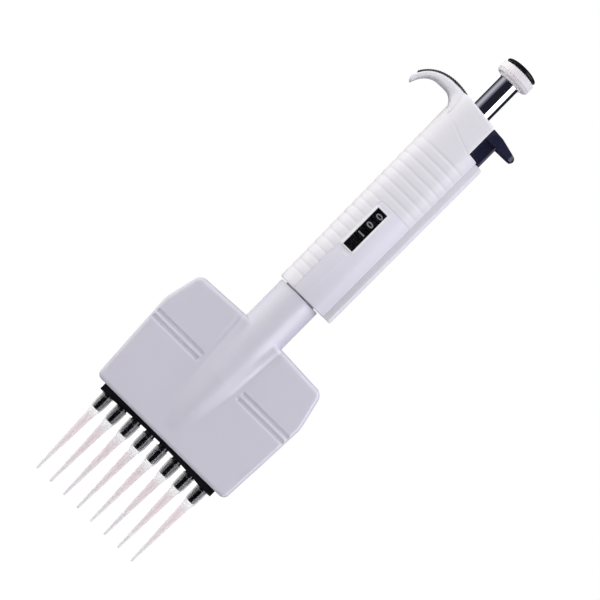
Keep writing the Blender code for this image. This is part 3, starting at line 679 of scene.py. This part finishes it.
def panel_prism(name, grow):
    """The column, seen from the front, that the smooth label panel fills."""
    low, high = HANDLE_BOTTOM + 0.25 - grow, PANEL_TOP + grow
    left, right = PANEL_LEFT - grow, PANEL_RIGHT + grow
    beside = WINDOW_HALF + 1.25 + grow
    corners = [(left, low, 0.6), (right, low, 0.8), (right, high, 1.2), (-beside, high, 0.8)]
    corners += [(-beside, 177.0, 2.0), (left, 170.0, 2.0)]
    return plate_xz(name, rounded(corners, 5), -20.0, -5.2 + grow)


def window_block(name, grow, y):
    wide = WINDOW_HALF + grow
    return block(name, (-wide, wide), y, (WINDOW_LOW - grow, WINDOW_HIGH + grow))


def build_handle():
    points, faces = handle_skin()
    shell = solid("handle_body", points, faces, 40)
    recess = boolean(plain_handle("recess", -1.0, 130, 300), "INTERSECT", panel_prism("region", 0.10))
    cut(recess, plain_handle("floor", 1.15, 120, 310))
    cut(shell, recess, window_block("window", 0.3, (-20, -6)))
    cut(shell, block("cover_recess", (13.2, 30), (-4.75, 4.75), (140, SHOULDER + 0.2)))
    cut(shell, block("stem_pocket", (NOTCH_X - 0.05, 15), (-3.4, 3.4), (231, SHOULDER + 0.3)))
    cut(shell, block("rod_channel", (8.0, 15), (-2.8, 2.8), (158.8, 240)))
    tidy(shell.data, 40)
    place(shell, "handle", [WHITE], "handle_shell")

    panel = plain_handle("label_panel_fine", 0.0, 130, 300)
    boolean(panel, "INTERSECT", panel_prism("region", 0.0))
    cut(panel, plain_handle("inside", 1.0, 120, 310), window_block("window", 0.0, (-20, -6)))
    below = block("thumbnail", (-2.7, 2.7), (-12.35, -20), (174.6, 177.0))
    cut(panel, bevel(below, 0.35, 3))
    tidy(panel.data, 35)
    bevel(panel, 0.14, 2, 50)
    tidy(panel.data, 40)
    place(panel, "handle", [PANEL], "label_panel")


def window_frame():
    """The raised lip round the display window."""

    def outline(grow, radius):
        wide, low, high = WINDOW_HALF + grow, WINDOW_LOW - grow, WINDOW_HIGH + grow
        corners = ((-wide, low), (wide, low), (wide, high), (-wide, high))
        return rounded([(x, z, radius) for x, z in corners], 5)

    outer, middle, inner = outline(1.35, 1.2), outline(0.4, 0.5), outline(-0.05, 0.25)
    rows = [(outer, -11.6), (outer, -12.25), (middle, -12.93), (inner, -12.8), (inner, -11.9)]
    points = [(x, y, z) for outline, y in rows for x, z in outline]
    lip = solid("window_lip", points, stitched(len(rows), len(outer), closed_rows=True), 50)
    place(lip, "handle", [WHITE])


def display_lens():
    wide, height = WINDOW_HALF - 0.15, (WINDOW_LOW + 0.15, WINDOW_HIGH - 0.15)
    lens = block("display_lens_fine", (-wide, wide), (-12.3, -11.2), height)
    place(bevel(lens, 0.2, 3), "handle", [LENS], "display_lens")


# --- Finger hook ---
def hook_lines(count):
    """Matching points along the hook's upper and lower outlines, from the root to the end."""
    upper = bezier(HOOK_TOP, count)
    root = bezier(((-11.6, 253.0), (-13.2, 261.8), (-16.0, 264.3), (-20.5, 264.3)), count * 2 // 5)
    crown = np.array([(-22.5, 264.3)])
    arch = bezier(((-24.5, 264.3), (-28.8, 264.2), (-32.6, 260.9), (-34.1, 255.6)), count * 3 // 5)
    lower = np.concatenate([root, crown, arch])
    length = np.concatenate([[0], np.cumsum(np.linalg.norm(np.diff(lower, axis=0), axis=1))])
    wanted = np.linspace(0, length[-1], count)
    return upper, np.stack([np.interp(wanted, length, lower[:, k]) for k in (0, 1)], 1)


def build_hook():
    """The hook is a row of squarish oval sections between its two outlines, with a rounded end."""
    upper, lower = hook_lines(56)
    sections = []
    around = np.linspace(0, math.tau, 65)[:-1]
    power = 2 / 3.6
    cos = np.sign(np.cos(around)) * np.abs(np.cos(around)) ** power
    sin = np.sign(np.sin(around)) * np.abs(np.sin(around)) ** power
    for index, (top, bottom) in enumerate(zip(upper, lower)):
        share = index / (len(upper) - 1)
        middle, half = (top + bottom) / 2, (top - bottom) / 2
        wide = HOOK_HALF_DEPTH + 3.2 * (1 - smoothstep(0.0, 0.3, share))
        x, z = middle[0] + half[0] * sin, middle[1] + half[1] * sin
        sections.append(np.column_stack([x, wide * cos, z]).tolist())
    last = np.array(sections[-1])
    centre = last.mean(0)
    ahead = np.array([-0.32, 0, -0.95])
    for turn in np.linspace(0.2, 0.95, 6):
        shrink = math.cos(turn * math.pi / 2)
        end = centre + (last - centre) * shrink + ahead * 1.1 * math.sin(turn * math.pi / 2)
        sections.append(end.tolist())
    place(lofted("finger_hook", sections, 60), "handle", [WHITE])


def build_pad():
    """The rubber strip follows the hook's arch, with fine cross ribs and rounded ends."""
    line = bezier(HOOK_TOP, 400)[14:372]
    along = np.gradient(line, axis=0)
    along /= np.linalg.norm(along, axis=1, keepdims=True)
    normal = np.stack([along[:, 1], -along[:, 0]], 1)
    distance = np.concatenate([[0], np.cumsum(np.linalg.norm(np.diff(line, axis=0), axis=1))])
    wide = HOOK_HALF_DEPTH - 0.9
    sections = []
    for point, out, run in zip(line, normal, distance):
        end = min(1.0, run / 0.8, (distance[-1] - run) / 0.8 + 0.05)
        thick = (0.72 + 0.09 * math.cos(math.tau * run / 1.15)) * math.sqrt(max(0.05, end))
        half = [(wide * 0.5, thick), (wide - 0.5, thick * 0.92), (wide, thick * 0.45), (wide, -0.25)]
        shape = [(-y, h) for y, h in half[::-1]] + half
        sections.append([(point[0] + out[0] * h, y, point[1] + out[1] * h) for y, h in shape])
    place(lofted("hook_pad_fine", sections, 50), "handle", [PAD], "hook_pad")


def build_cover():
    """The ridge over the ejector rod's channel, rounded over at its upper end."""
    low, high = node_box("ejector_cover")
    soft = 1.3
    levels = [(low.z, 0.45), (low.z + 0.12, 0.2), (low.z + 0.4, 0.0), (high.z - soft, 0.0)]
    for turn in np.linspace(0.15, 0.95, 7):
        a = turn * math.pi / 2
        levels.append((high.z - soft + soft * math.sin(a), soft * (1 - math.cos(a))))
    sections = []
    for z, inset in levels:
        reach = high.x + 0.4 - 0.6 * (high.z - z) / (high.z - low.z) - inset
        wide = high.y - inset
        corners = [(13.5, -wide, 0), (reach, -wide, 2.2), (reach, wide, 2.2), (13.5, wide, 0)]
        sections.append([(x, y, z) for x, y in rounded(corners, 8)])
    cover = lofted("ejector_ridge", sections, 40)
    cut(cover, block("hollow", (10, 17.0), (-3.4, 3.4), (150, 203)))
    cut(cover, block("hollow", (10, 17.9), (-3.4, 3.4), (205, 260)))
    drill(cover, 1.8, 195, 210, (ROD_X, 0), 24)
    tidy(cover.data, 40)
    place(cover, "handle", [WHITE], "ejector_cover")


# --- Counter ---
def digit_points(text, size):
    """Points and faces of one numeral as a thin slab, centred, in millimetres."""
    curve = bpy.data.curves.new("numeral", "FONT")
    curve.body = text
    curve.size = size
    curve.align_x = "CENTER"
    curve.align_y = "CENTER"
    curve.extrude = 0.05
    curve.offset = 0.11
    curve.resolution_u = 4
    made = added("numeral", curve)
    graph = bpy.context.evaluated_depsgraph_get()
    mesh = bpy.data.meshes.new_from_object(made.evaluated_get(graph))
    shape = bmesh.new()
    shape.from_mesh(mesh)
    for level in np.arange(-2.0, 2.0, 0.25):
        parts = shape.verts[:] + shape.edges[:] + shape.faces[:]
        bmesh.ops.bisect_plane(shape, geom=parts, plane_co=(0, level, 0), plane_no=(0, 1, 0))
    shape.to_mesh(mesh)
    shape.free()
    points = np.array([v.co for v in mesh.vertices])
    faces = [tuple(p.vertices) for p in mesh.polygons]
    bpy.data.objects.remove(made)
    bpy.data.meshes.remove(mesh)
    points[:, 0] -= (points[:, 0].min() + points[:, 0].max()) / 2
    points[:, 1] -= (points[:, 1].min() + points[:, 1].max()) / 2
    return points, faces


def number_ring(node, shown, offset):
    """A ring with the numerals 0 to 9 lying on their sides, one of them in the window."""
    low, high = node_box(node)
    outer, low_z, high_z = high.x, low.z, high.z
    edge = 0.25
    profile = [(7.9, low_z), (outer - edge, low_z), (outer, low_z + edge), (outer, high_z - edge)]
    profile += [(outer - edge, high_z)]
    web = [(2.4, high_z), (2.4, high_z - 1.2), (7.9, high_z - 1.2)]
    profile += web if node == "ring_ones" else [(7.9, high_z)]
    ring = turned(node + "_fine", profile, 120)
    points = [tuple(v.co / MM) for v in ring.data.vertices]
    faces = [tuple(p.vertices) for p in ring.data.polygons]
    plain = len(faces)
    middle = (low_z + high_z) / 2
    for digit in range(10):
        flat, outline = digit_points(str(digit), 5.0)
        start = len(points)
        turn = -math.pi / 2 + math.radians(36.0 * (digit - shown)) + offset / outer
        a = turn - flat[:, 1] / outer
        r = outer + 0.02 + flat[:, 2]
        points += zip(r * np.cos(a), r * np.sin(a), middle + flat[:, 0])
        faces += [tuple(start + k for k in face) for face in outline]
    bpy.data.objects.remove(ring)
    made = solid(node + "_numerals", points, faces, 35)
    place(made, node, [BLACK, DIGIT], node)
    for polygon in made.data.polygons[plain:]:
        polygon.material_index = 1


# --- Plunger ---
def build_plunger():
    """The knurled knob, its domed cap, and the chrome sleeve."""

    def knurl(a, radius, height):
        band = smoothstep(KNOB_BOTTOM + 1.6, KNOB_BOTTOM + 2.4, height)
        band *= 1 - smoothstep(KNOB_TOP - 4.4, KNOB_TOP - 3.8, height)
        return 0.0 if radius < 8.6 else -0.03 * float(band) * (0.5 - 0.5 * math.cos(60 * a))

    rim = KNOB_TOP - 2.9
    socket = KNOB_BOTTOM + 3.3
    corners = [(7.3, KNOB_BOTTOM, 0.5), (KNOB_R, KNOB_BOTTOM + 1.9, 1.2), (KNOB_R, rim, 0.7)]
    outside = rounded(corners, 5)
    profile = [(0, socket), (SLEEVE_R + 0.25, socket), (SLEEVE_R + 0.25, KNOB_BOTTOM + 0.2)]
    profile += [(SLEEVE_R + 0.45, KNOB_BOTTOM)] + [p for p in outside if p[1] < KNOB_BOTTOM + 2.8]
    profile += [(KNOB_R, z) for z in np.linspace(KNOB_BOTTOM + 3.0, rim - 1.0, 8)]
    profile += [p for p in outside if p[1] > rim - 0.9] + [(6.6, rim), (6.6, rim - 2.3), (0, rim - 2.3)]
    knob = turned("knob_knurled", profile, 432, bored=False, wave=knurl, angle=50)
    place(knob, "knob", [KNOB], "knob")

    low = rim + 0.2
    quarter = np.linspace(0, math.pi / 2, 22)
    profile = [(CAP_R * math.sin(a), low + 0.5 + (KNOB_TOP - low - 0.5) * math.cos(a)) for a in quarter]
    profile += [(CAP_R, low + 0.25), (8.4, low), (6.2, low), (6.2, rim - 2.0), (0, rim - 2.0)]
    place(turned("knob_cap", profile, 96, bored=False), "knob", [CAP], "knob_insert")

    top = node_box("plunger_sleeve")[1].z
    corners = [(2.3, SLEEVE_BOTTOM, 0.2), (SLEEVE_R, SLEEVE_BOTTOM, 0.4)]
    profile = rounded(corners + [(SLEEVE_R, top, 0.3), (2.3, top, 0.2)], 3)
    place(turned("plunger_tube", profile, 128), "knob", [CHROME], "plunger_sleeve")


def spring(node, body, x, radius, wire, turns):
    """A round-wire compression spring whose end coils close up."""
    steps, sides = 28, 12
    low, high = (corner.z for corner in node_box(node))
    count = turns * steps
    sections = []
    for step in range(count + 1):
        share = step / count
        rise = smoothstep(0.0, 1.0, share) * 0.25 + share * 0.75
        a = math.tau * step / steps
        height = low + wire + (high - low - 2 * wire) * float(rise)
        section = []
        for side in range(sides):
            b = math.tau * side / sides
            reach = radius + wire * math.cos(b)
            section.append((x + reach * math.cos(a), reach * math.sin(a), height + wire * math.sin(b)))
        sections.append(section)
    made = place(lofted(node + "_wire", sections, 60), body, [STEEL], node)
    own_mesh(made)


def build_springs():
    spring("main_spring", "blowout", 0, 5.8, 0.5, 9)
    spring("blowout_spring", "handle", 0, 7.0, 0.7, 3)
    spring("ejector_spring", "handle", ROD_X, 2.3, 0.3, 14)


# --- Ejector ---
def build_lever():
    """The L-shaped button: a rounded stem, and a lever that tapers to a rounded end."""
    low, high = node_box("ejector_button")
    left, right = low.x, high.x
    corners = [(left, 266.7, 0.3), (left, 260.8, 0), (right - 1.0, 260.9, 0.6), (right, 262.2, 0.8)]
    corners += [(right - 0.9, 263.7, 1.4), (16.5, 266.2, 6.0)]
    lever = plate_xz("ejector_lever", rounded(corners, 5), -6.0, 6.0)
    plan = [(left - 1, -6.0, 0), (16, -6.0, 4), (right + 0.2, -5.0, 4.4)]
    plan += [(x, -y, radius) for x, y, radius in plan[::-1]]
    boolean(lever, "INTERSECT", plate_xy("plan", rounded(plan, 8), 255, 270))
    plan = [(left, -3.1, 0.4), (17.5, -3.1, 1.3), (17.5, 3.1, 1.3), (left, 3.1, 0.4)]
    boolean(lever, "UNION", plate_xy("stem", rounded(plan, 5), low.z, 263.0))
    bevel(lever, 0.45, 4, 40)
    tidy(lever.data, 40)
    place(lever, "ejector", [NAVY], "ejector_button")


def build_plate():
    """The ejector plate: an arched bar with eight holes and two ears inside the housing's slot."""
    length, top, end_low = 36.4, 54.0, 48.7
    arch = [(x, 50.25 - 1.55 * min(1.0, abs(x) / 30.0) ** 2) for x in np.linspace(30.0, -30.0, 41)]
    outline = [(-length, top), (length, top), (length, end_low)] + arch + [(-length, end_low)]
    plate = plate_xz("ejector_bar", outline, -5.4, 5.4)
    for side in (-1, 1):
        foot = sorted((side * (length - 2.0), side * 38.0))
        ear = sorted((side * 36.2, side * 38.0))
        boolean(plate, "UNION", block("foot", foot, (-3.5, 3.5), (MANIFOLD_BOTTOM + 0.3, top - 0.1)))
        boolean(plate, "UNION", block("ear", ear, (-3.4, 3.4), (top - 0.9, 56.0)))
    for x in CHANNEL_X:
        drill(plate, 3.1, 40, 60, (x, 0))
    bevel(plate, 0.2, 2, 50)
    tidy(plate.data, 40)
    place(plate, "ejector_yoke", [BLACK], "ejector_plate")


# --- Manifold ---
MANIFOLD_TOP = 122.2
WALL = 1.9
CORNER = 2.2
FLARE = 0.86  # the share of a cosine's half wave that the fairing's cross-section follows
GROOVE_HEIGHTS = (91.0, 94.4)
NECK_BORE = 7.6
NECK_BORE_LOW = 103.5
SPIGOT_LOW = 140.0
SPIGOT_TOP = 156.4
SCREW_PLACES = ((-40.4, 100.0), (40.4, 100.0), (-18.0, 58.2), (18.0, 58.2))


def manifold_outline(inset):
    """The housing from the front: nearly flat top, sides that swell to the shoulders, round corners."""
    right = [(42.2 - inset, MANIFOLD_BOTTOM + inset, 3.2), (44.6 - inset, 101.5, 14.0)]
    right += [(40.2 - inset, 120.2 - inset, 4.0)]
    left = [(-x, z, r) for x, z, r in right[::-1]]
    return np.array(rounded(right + [(0.0, MANIFOLD_TOP - inset, 60.0)] + left, 10))


def outline_distance(x, z, outline):
    """Signed distance from points to a convex closed outline, negative inside."""
    a, b = outline, np.roll(outline, -1, 0)
    best = np.full(x.shape, np.inf)
    outside = np.full(x.shape, -np.inf)
    for (ax, az), (bx, bz) in zip(a, b):
        ex, ez = bx - ax, bz - az
        length = math.hypot(ex, ez)
        if length < 1e-9:
            continue
        t = np.clip(((x - ax) * ex + (z - az) * ez) / length**2, 0, 1)
        best = np.minimum(best, np.hypot(x - ax - t * ex, z - az - t * ez))
        outside = np.maximum(outside, ((x - ax) * ez - (z - az) * ex) / length)
    return np.where(outside > 0, best, -best)


OUTLINE = manifold_outline(0.01)


def manifold_field(fairing_end, screws):
    """The distance-like field of a front casing half whose fairing fades out at a height."""
    fall = MANIFOLD_TOP - fairing_end
    spots = [fairing_end - 4, fairing_end + 0.25 * fall, fairing_end + 0.52 * fall, 105.0, MANIFOLD_TOP]
    half_widths = [4.6, 8.6, 10.6, 11.4, 12.6]
    rises = [-0.25, 1.9, 2.9, 2.6, 0.2]
    ending = 0.5 + 0.5 * math.cos(FLARE * math.pi)

    def casing(x, y, z, edge):
        """The rounded slab with its bell-shaped fairing and the shallow dish on either side of it."""
        half_width, rise = np.interp(z, spots, half_widths), np.interp(z, spots, rises)
        share = np.minimum(np.abs(x) / half_width, 1.0)
        bell = (0.5 + 0.5 * np.cos(FLARE * math.pi * share) - ending) / (1 - ending)
        beside = np.exp(-(((np.abs(x) - half_width - 0.5) / 1.8) ** 2))
        dish = 0.75 * beside * smoothstep(72.0, 116.0, z)
        a, b = edge + CORNER, (-y - FLAT - np.maximum(rise * bell, 0) + dish) * 0.95 + CORNER
        return np.hypot(np.maximum(a, 0), np.maximum(b, 0)) + np.minimum(np.maximum(a, b), 0) - CORNER

    def neck_tube(z, r):
        radius = np.interp(z, [96.0, 108.0, 118.0, 124.0], [10.3, 11.3, 11.65, NECK_R])
        tube = np.maximum(r - radius, 95.0 - z)
        top = NECK_TOP - 0.5
        softened = np.hypot(np.maximum(tube + 0.5, 0), np.maximum(z - top, 0)) - 0.5
        return np.where(z > top - 1, softened, tube)

    def field(x, y, z):
        edge, r = outline_distance(x, z, OUTLINE), np.hypot(x, y)
        body = smooth_min(casing(x, y, z, edge), neck_tube(z, r), 0.9)
        spigot = r - np.where(z > 154.6, 10.1, 8.8)
        body = np.minimum(body, np.maximum(spigot, np.maximum(z - SPIGOT_TOP, SPIGOT_LOW - z)))
        reach = np.maximum(np.maximum(14.0 - np.abs(x), np.abs(x) - 42.6), 0)
        for height in GROOVE_HEIGHTS:
            groove = np.sqrt(reach**2 + (y + FLAT + 0.3) ** 2 + (z - height) ** 2) - 1.3
            body = -smooth_min(-body, groove, 0.2)
        room = np.maximum(edge + WALL, -(y + FLAT - WALL))
        room = np.minimum(room, np.maximum(r - NECK_BORE, NECK_BORE_LOW - z))
        slot = np.maximum(np.maximum(np.abs(x) - 38.4, np.abs(y) - 5.8), z - 60.0)
        body = np.maximum(body, -np.minimum(room, slot))
        for sx, sz in SCREW_PLACES[:2]:
            away = np.hypot(x - sx, z - sz)
            body = np.minimum(body, np.maximum(away - 2.1, np.maximum(-7.2 - y, y + 0.3)))
            if not screws:
                body = np.maximum(body, -np.maximum(away - 1.15, -5.0 - y))
        for sx, sz in SCREW_PLACES if screws else ():
            away = np.hypot(x - sx, z - sz)
            sink = np.maximum(away - 2.35, y + FLAT - 1.1)
            body = np.maximum(body, -np.minimum(sink, away - 1.3))
        return np.maximum(body, y + 0.06)

    return field


def graded(low, high, coarse, fine_spans):
    """Grid lines from low to high: coarse spacing, and finer inside each (from, to, spacing) span."""
    lines = [low]
    while lines[-1] < high:
        here = lines[-1]
        gap = min([s for a, b, s in fine_spans if a <= here <= b], default=coarse)
        ahead = [a - here for a, b, s in fine_spans if a > here + 1e-6]
        lines.append(here + max(min([gap] + ahead), 0.12))
    return np.array(lines)


def build_manifold():
    spans = [(-15.0, 15.0, 0.5), (-46.0, -41.0, 0.4), (41.0, 46.0, 0.4)]
    levels = [(89.2, 96.2, 0.2), (51.6, 55.0, 0.3), (116.0, 124.5, 0.35), (144.6, 147.0, 0.3)]
    levels += [(154.0, 157.0, 0.3)]
    ys = graded(-13.2, 1.0, 0.42, [(-9.2, -7.8, 0.2), (-0.4, 0.3, 0.12)])

    def half(name, field, more_spans=(), more_levels=()):
        xs = graded(-46.0, 46.0, 0.8, spans + list(more_spans))
        zs = graded(51.0, 158.0, 0.7, levels + list(more_levels))
        return surface_of(name, field, xs, ys, zs, 45)

    front = half("manifold_front_fine", manifold_field(60.0, False))
    place(front, "manifold", [LILAC], "manifold_front")
    near = [(x - 3.0, x + 3.0, 0.3) for x, z in SCREW_PLACES]
    level_with = [(97.0, 103.0, 0.3), (55.2, 61.2, 0.3)]
    back = half("manifold_back_fine", manifold_field(84.0, True), near, level_with)
    back.data.transform(Matrix.Diagonal((1, -1, 1, 1)))
    tidy(back.data, 45)
    place(back, "manifold", [LILAC], "manifold_back")
    for number, (x, z) in enumerate(SCREW_PLACES):
        case_screw(number + 1, x, z)


def case_screw(number, x, z):
    """A countersunk-look pan head with a six-sided socket."""
    low, high = node_box("case_screw_%d" % number)
    profile = [(0, low.y), (0.8, low.y), (1.0, low.y + 0.25), (1.0, high.y - 0.6), (1.9, high.y - 0.6)]
    profile += [(2.0, high.y - 0.5), (2.0, high.y - 0.25), (1.75, high.y), (0, high.y)]
    screw = turned("case_screw_head_%d" % number, profile, 40, bored=False)
    socket = [(0, high.y - 0.5), (0.95, high.y - 0.5), (0.95, high.y + 1), (0, high.y + 1)]
    cut(screw, turned("socket", socket, 6, bored=False))
    screw.data.transform(Matrix.Rotation(math.radians(-90), 4, "X"))
    screw.data.transform(Matrix.Translation((x * MM, 0, z * MM)))
    tidy(screw.data, 35)
    place(screw, "manifold", [STEEL], "case_screw_%d" % number)


# --- Channels ---
def tip_cone(number, x):
    """The barrel and its tapered cone, with two sealing beads where the tip grips."""
    low, high = node_box("tip_cone_%d" % number)
    bottom, top = low.z, high.z
    outside = [(1.7, bottom), (2.1, bottom + 0.15), (2.32, bottom + 0.6)]
    for bead in (bottom + 2.6, bottom + 5.2):
        r = 2.3 + 0.46 * (bead - bottom) / 8.2
        outside += [(r, bead - 0.5), (r + 0.1, bead - 0.2), (r + 0.1, bead + 0.2), (r, bead + 0.5)]
    outside += [(2.75, bottom + 8.0), (2.78, 54.6), (3.7, 55.6), (3.7, 62.3), (4.3, 62.3), (4.3, 63.6)]
    outside += [(3.7, 63.6), (3.7, top)]
    inside = [(3.05, top), (3.05, 58.0), (0.9, 57.0), (0.9, bottom)]
    made = turned("tip_cone_fine_%d" % number, outside + inside, 48, (x, 0))
    place(made, "manifold", [CONE], "tip_cone_%d" % number)


def tip(number, x):
    """A disposable tip: ribbed collar, stepped shoulder, long taper, and a fine orifice."""

    def ribs(a, radius, height):
        if radius < 2.97 or height < 41.0 or height > TIP_LENGTH - 1.0:
            return 0.0
        return 0.2 * max(0.0, math.cos(10 * a)) ** 2

    rim = TIP_LENGTH
    outside = [(0.55, 0.0), (0.7, 0.3), (1.15, 8.5), (1.62, 19.0), (2.36, 35.6), (2.55, 37.4)]
    outside += [(2.88, 39.4), (2.98, 40.6)] + [(2.98 + 0.02 * step, 41.2 + step) for step in range(6)]
    outside += [(3.16, rim - 0.9), (3.4, rim - 0.7), (3.45, rim - 0.3), (3.35, rim)]
    inside = [(2.98, rim), (2.9, rim - 0.4), (2.56, 41.0), (2.46, 39.2), (2.15, 37.2), (2.02, 35.6)]
    inside += [(1.25, 19.0), (0.6, 8.0), (0.25, 0.0)]
    made = turned("tip_fine_%d" % number, outside + inside, 72, (x, 0), wave=ribs, angle=60)
    place(made, "tips", [TIP], "tip_%d" % number)


# --- The CAD nodes that keep their shape ---
def finish_inner_nodes():
    """Node materials for the pieces that stay as packed, all of them inside the casings."""
    slots = {part["node"]: part["material_slot"] for part in frame["record"]["subparts"]}
    for name, node in frame["nodes"].items():
        node.data.materials.clear()
        node.data.materials.append(SLOTS[slots[name]][0])
        node.data.shade_smooth()
        node.data.set_sharp_from_angle(angle=math.radians(35))


# --- Stage ---
def build_floor():
    """A wide disc just below the tips. It looks white to the camera and lights the pipette as grey."""
    ring = [(900 * math.cos(a), 900 * math.sin(a), -0.6) for a in np.linspace(0, math.tau, 97)[:-1]]
    floor = solid("floor", ring, [tuple(range(len(ring)))])
    made, nodes, shader, where = new_material("floor_white")
    cloud = nodes.noise(where, 8.0, 3.0)
    nodes.dress(shader, nodes.mix(cloud, (0.44, 0.44, 0.44, 1), (0.48, 0.48, 0.48, 1)), 0.85)
    seen = nodes.add("ShaderNodeLightPath").outputs["Is Camera Ray"]
    nodes.put(shader, "Emission Strength", nodes.math("MULTIPLY", seen, 0.62))
    shader.inputs["Emission Color"].default_value = (1, 1, 1, 1)
    floor.data.materials.append(made)
    floor.visible_glossy = False


def bearing_axis(bearing, elevation):
    """The direction towards a bearing, counted from the display side towards the ejector."""
    b, e = math.radians(bearing), math.radians(elevation)
    return (math.sin(b) * math.cos(e), -math.cos(b) * math.cos(e), math.sin(e))


def build_world():
    """White to the camera, soft glows for matt surfaces, and tall windows of a dark room in mirrors."""
    world = bpy.data.worlds.new("studio")
    world.use_nodes = True
    world.cycles.sampling_method = "NONE"
    bpy.context.scene.world = world
    nodes = Nodes(world.node_tree)
    world.node_tree.nodes.clear()
    rays = nodes.add("ShaderNodeLightPath")
    direction = nodes.add("ShaderNodeTexCoord").outputs["Generated"]
    toward = nodes.add("ShaderNodeSeparateXYZ", Vector=direction)
    back = nodes.math("MULTIPLY", toward.outputs["Y"], -1.0)
    bearing = nodes.math("ARCTAN2", toward.outputs["X"], back)
    bearing = nodes.math("MULTIPLY", bearing, 180 / math.pi)

    def band(low, high, soft):
        rise = nodes.stretch(bearing, low - soft, low + soft, 0.0, 1.0)
        fall = nodes.stretch(bearing, high - soft, high + soft, 1.0, 0.0)
        return nodes.math("MULTIPLY", rise, fall)

    def background(colour, strength):
        return nodes.add("ShaderNodeBackground", Color=colour, Strength=strength).outputs[0]

    def glow(bearing_deg, elevation, strength, colour):
        dot = nodes.add("ShaderNodeVectorMath", {"operation": "DOT_PRODUCT"})
        nodes.put(dot, 0, direction)
        nodes.put(dot, 1, bearing_axis(bearing_deg, elevation))
        lobe = nodes.math("POWER", nodes.math("MAXIMUM", dot.outputs["Value"], 0.0), 4.0)
        return background(colour, nodes.math("MULTIPLY", lobe, strength))

    def join(kind, *inputs):
        node = nodes.add(kind)
        for socket, value in enumerate(inputs):
            nodes.put(node, socket, value)
        return node.outputs[0]

    strong = nodes.stretch(bearing, 44.0, 96.0, 5.0, 1.4)
    bright = nodes.math("MULTIPLY", band(44.0, 96.0, 4.0), strong)
    dim = nodes.math("MULTIPLY", band(-112.0, -56.0, 20.0), 0.55)
    mirrored = nodes.math("ADD", nodes.math("ADD", bright, dim), 0.03)
    lit = nodes.stretch(mirrored, 0.0, 0.6, 0.0, 1.0)
    room = background(nodes.mix(lit, (0.6, 0.6, 1.0, 1), (1.0, 1.0, 1.0, 1)), mirrored)
    rising = nodes.stretch(toward.outputs["Z"], -1.0, 1.0, 0.33, 0.865)
    matt = background((0.97, 0.965, 1.0, 1), rising)
    matt = join("ShaderNodeAddShader", matt, glow(-80, 5, 2.4, (1.0, 0.99, 0.93, 1)))
    matt = join("ShaderNodeAddShader", matt, glow(178, 10, 0.5, (1.0, 1.0, 1.0, 1)))
    unseen = join("ShaderNodeMixShader", rays.outputs["Is Glossy Ray"], matt, room)
    seen = background((1, 1, 1, 1), 1.0)
    last = join("ShaderNodeMixShader", rays.outputs["Is Camera Ray"], unseen, seen)
    nodes.add("ShaderNodeOutputWorld", Surface=last)


def build_light():
    """One large soft lamp, high on the ejector side."""
    light = bpy.data.lights.new("softbox", "AREA")
    light.energy = 3.0
    light.color = (0.88, 0.88, 1.0)
    light.size = 0.45
    made = added("softbox", light)
    made.location = Vector(bearing_axis(72, 32)) * 0.88 + Vector((0, 0, 0.15))
    made.rotation_mode = "QUATERNION"
    made.rotation_quaternion = Vector(bearing_axis(72, 32)).to_track_quat("Z", "Y")
    made.visible_glossy = False
    made.visible_camera = False


def build_camera():
    """Square to the display side, with a long lens, rolled so that the pipette lies on a diagonal."""
    lens, sensor, frame_width = 120.0, 36.0, 0.2852
    camera = bpy.data.cameras.new("camera")
    camera.lens = lens
    camera.sensor_width = sensor
    made = added("camera", camera)
    distance = lens / sensor * frame_width
    made.location = (0.00142, -distance, 0.1448)
    roll = math.radians(44.65)
    right = Vector((math.cos(roll), 0, math.sin(roll)))
    up = Vector((-math.sin(roll), 0, math.cos(roll)))
    made.rotation_mode = "QUATERNION"
    made.rotation_quaternion = Matrix((right, up, Vector((0, -1, 0)))).transposed().to_quaternion()
    bpy.context.scene.camera = made
    bpy.context.scene.view_settings.view_transform = "Standard"


finish_inner_nodes()
build_handle()
window_frame()
display_lens()
build_hook()
build_pad()
build_cover()
number_ring("ring_ones", 0, 0.6)
number_ring("ring_tens", 0, 0.0)
number_ring("ring_hundreds", 1, 0.0)
build_plunger()
build_springs()
build_lever()
build_plate()
build_manifold()
for index, channel in enumerate(CHANNEL_X):
    tip_cone(index + 1, channel)
    tip(index + 1, channel)
build_floor()
build_world()
build_light()
build_camera()
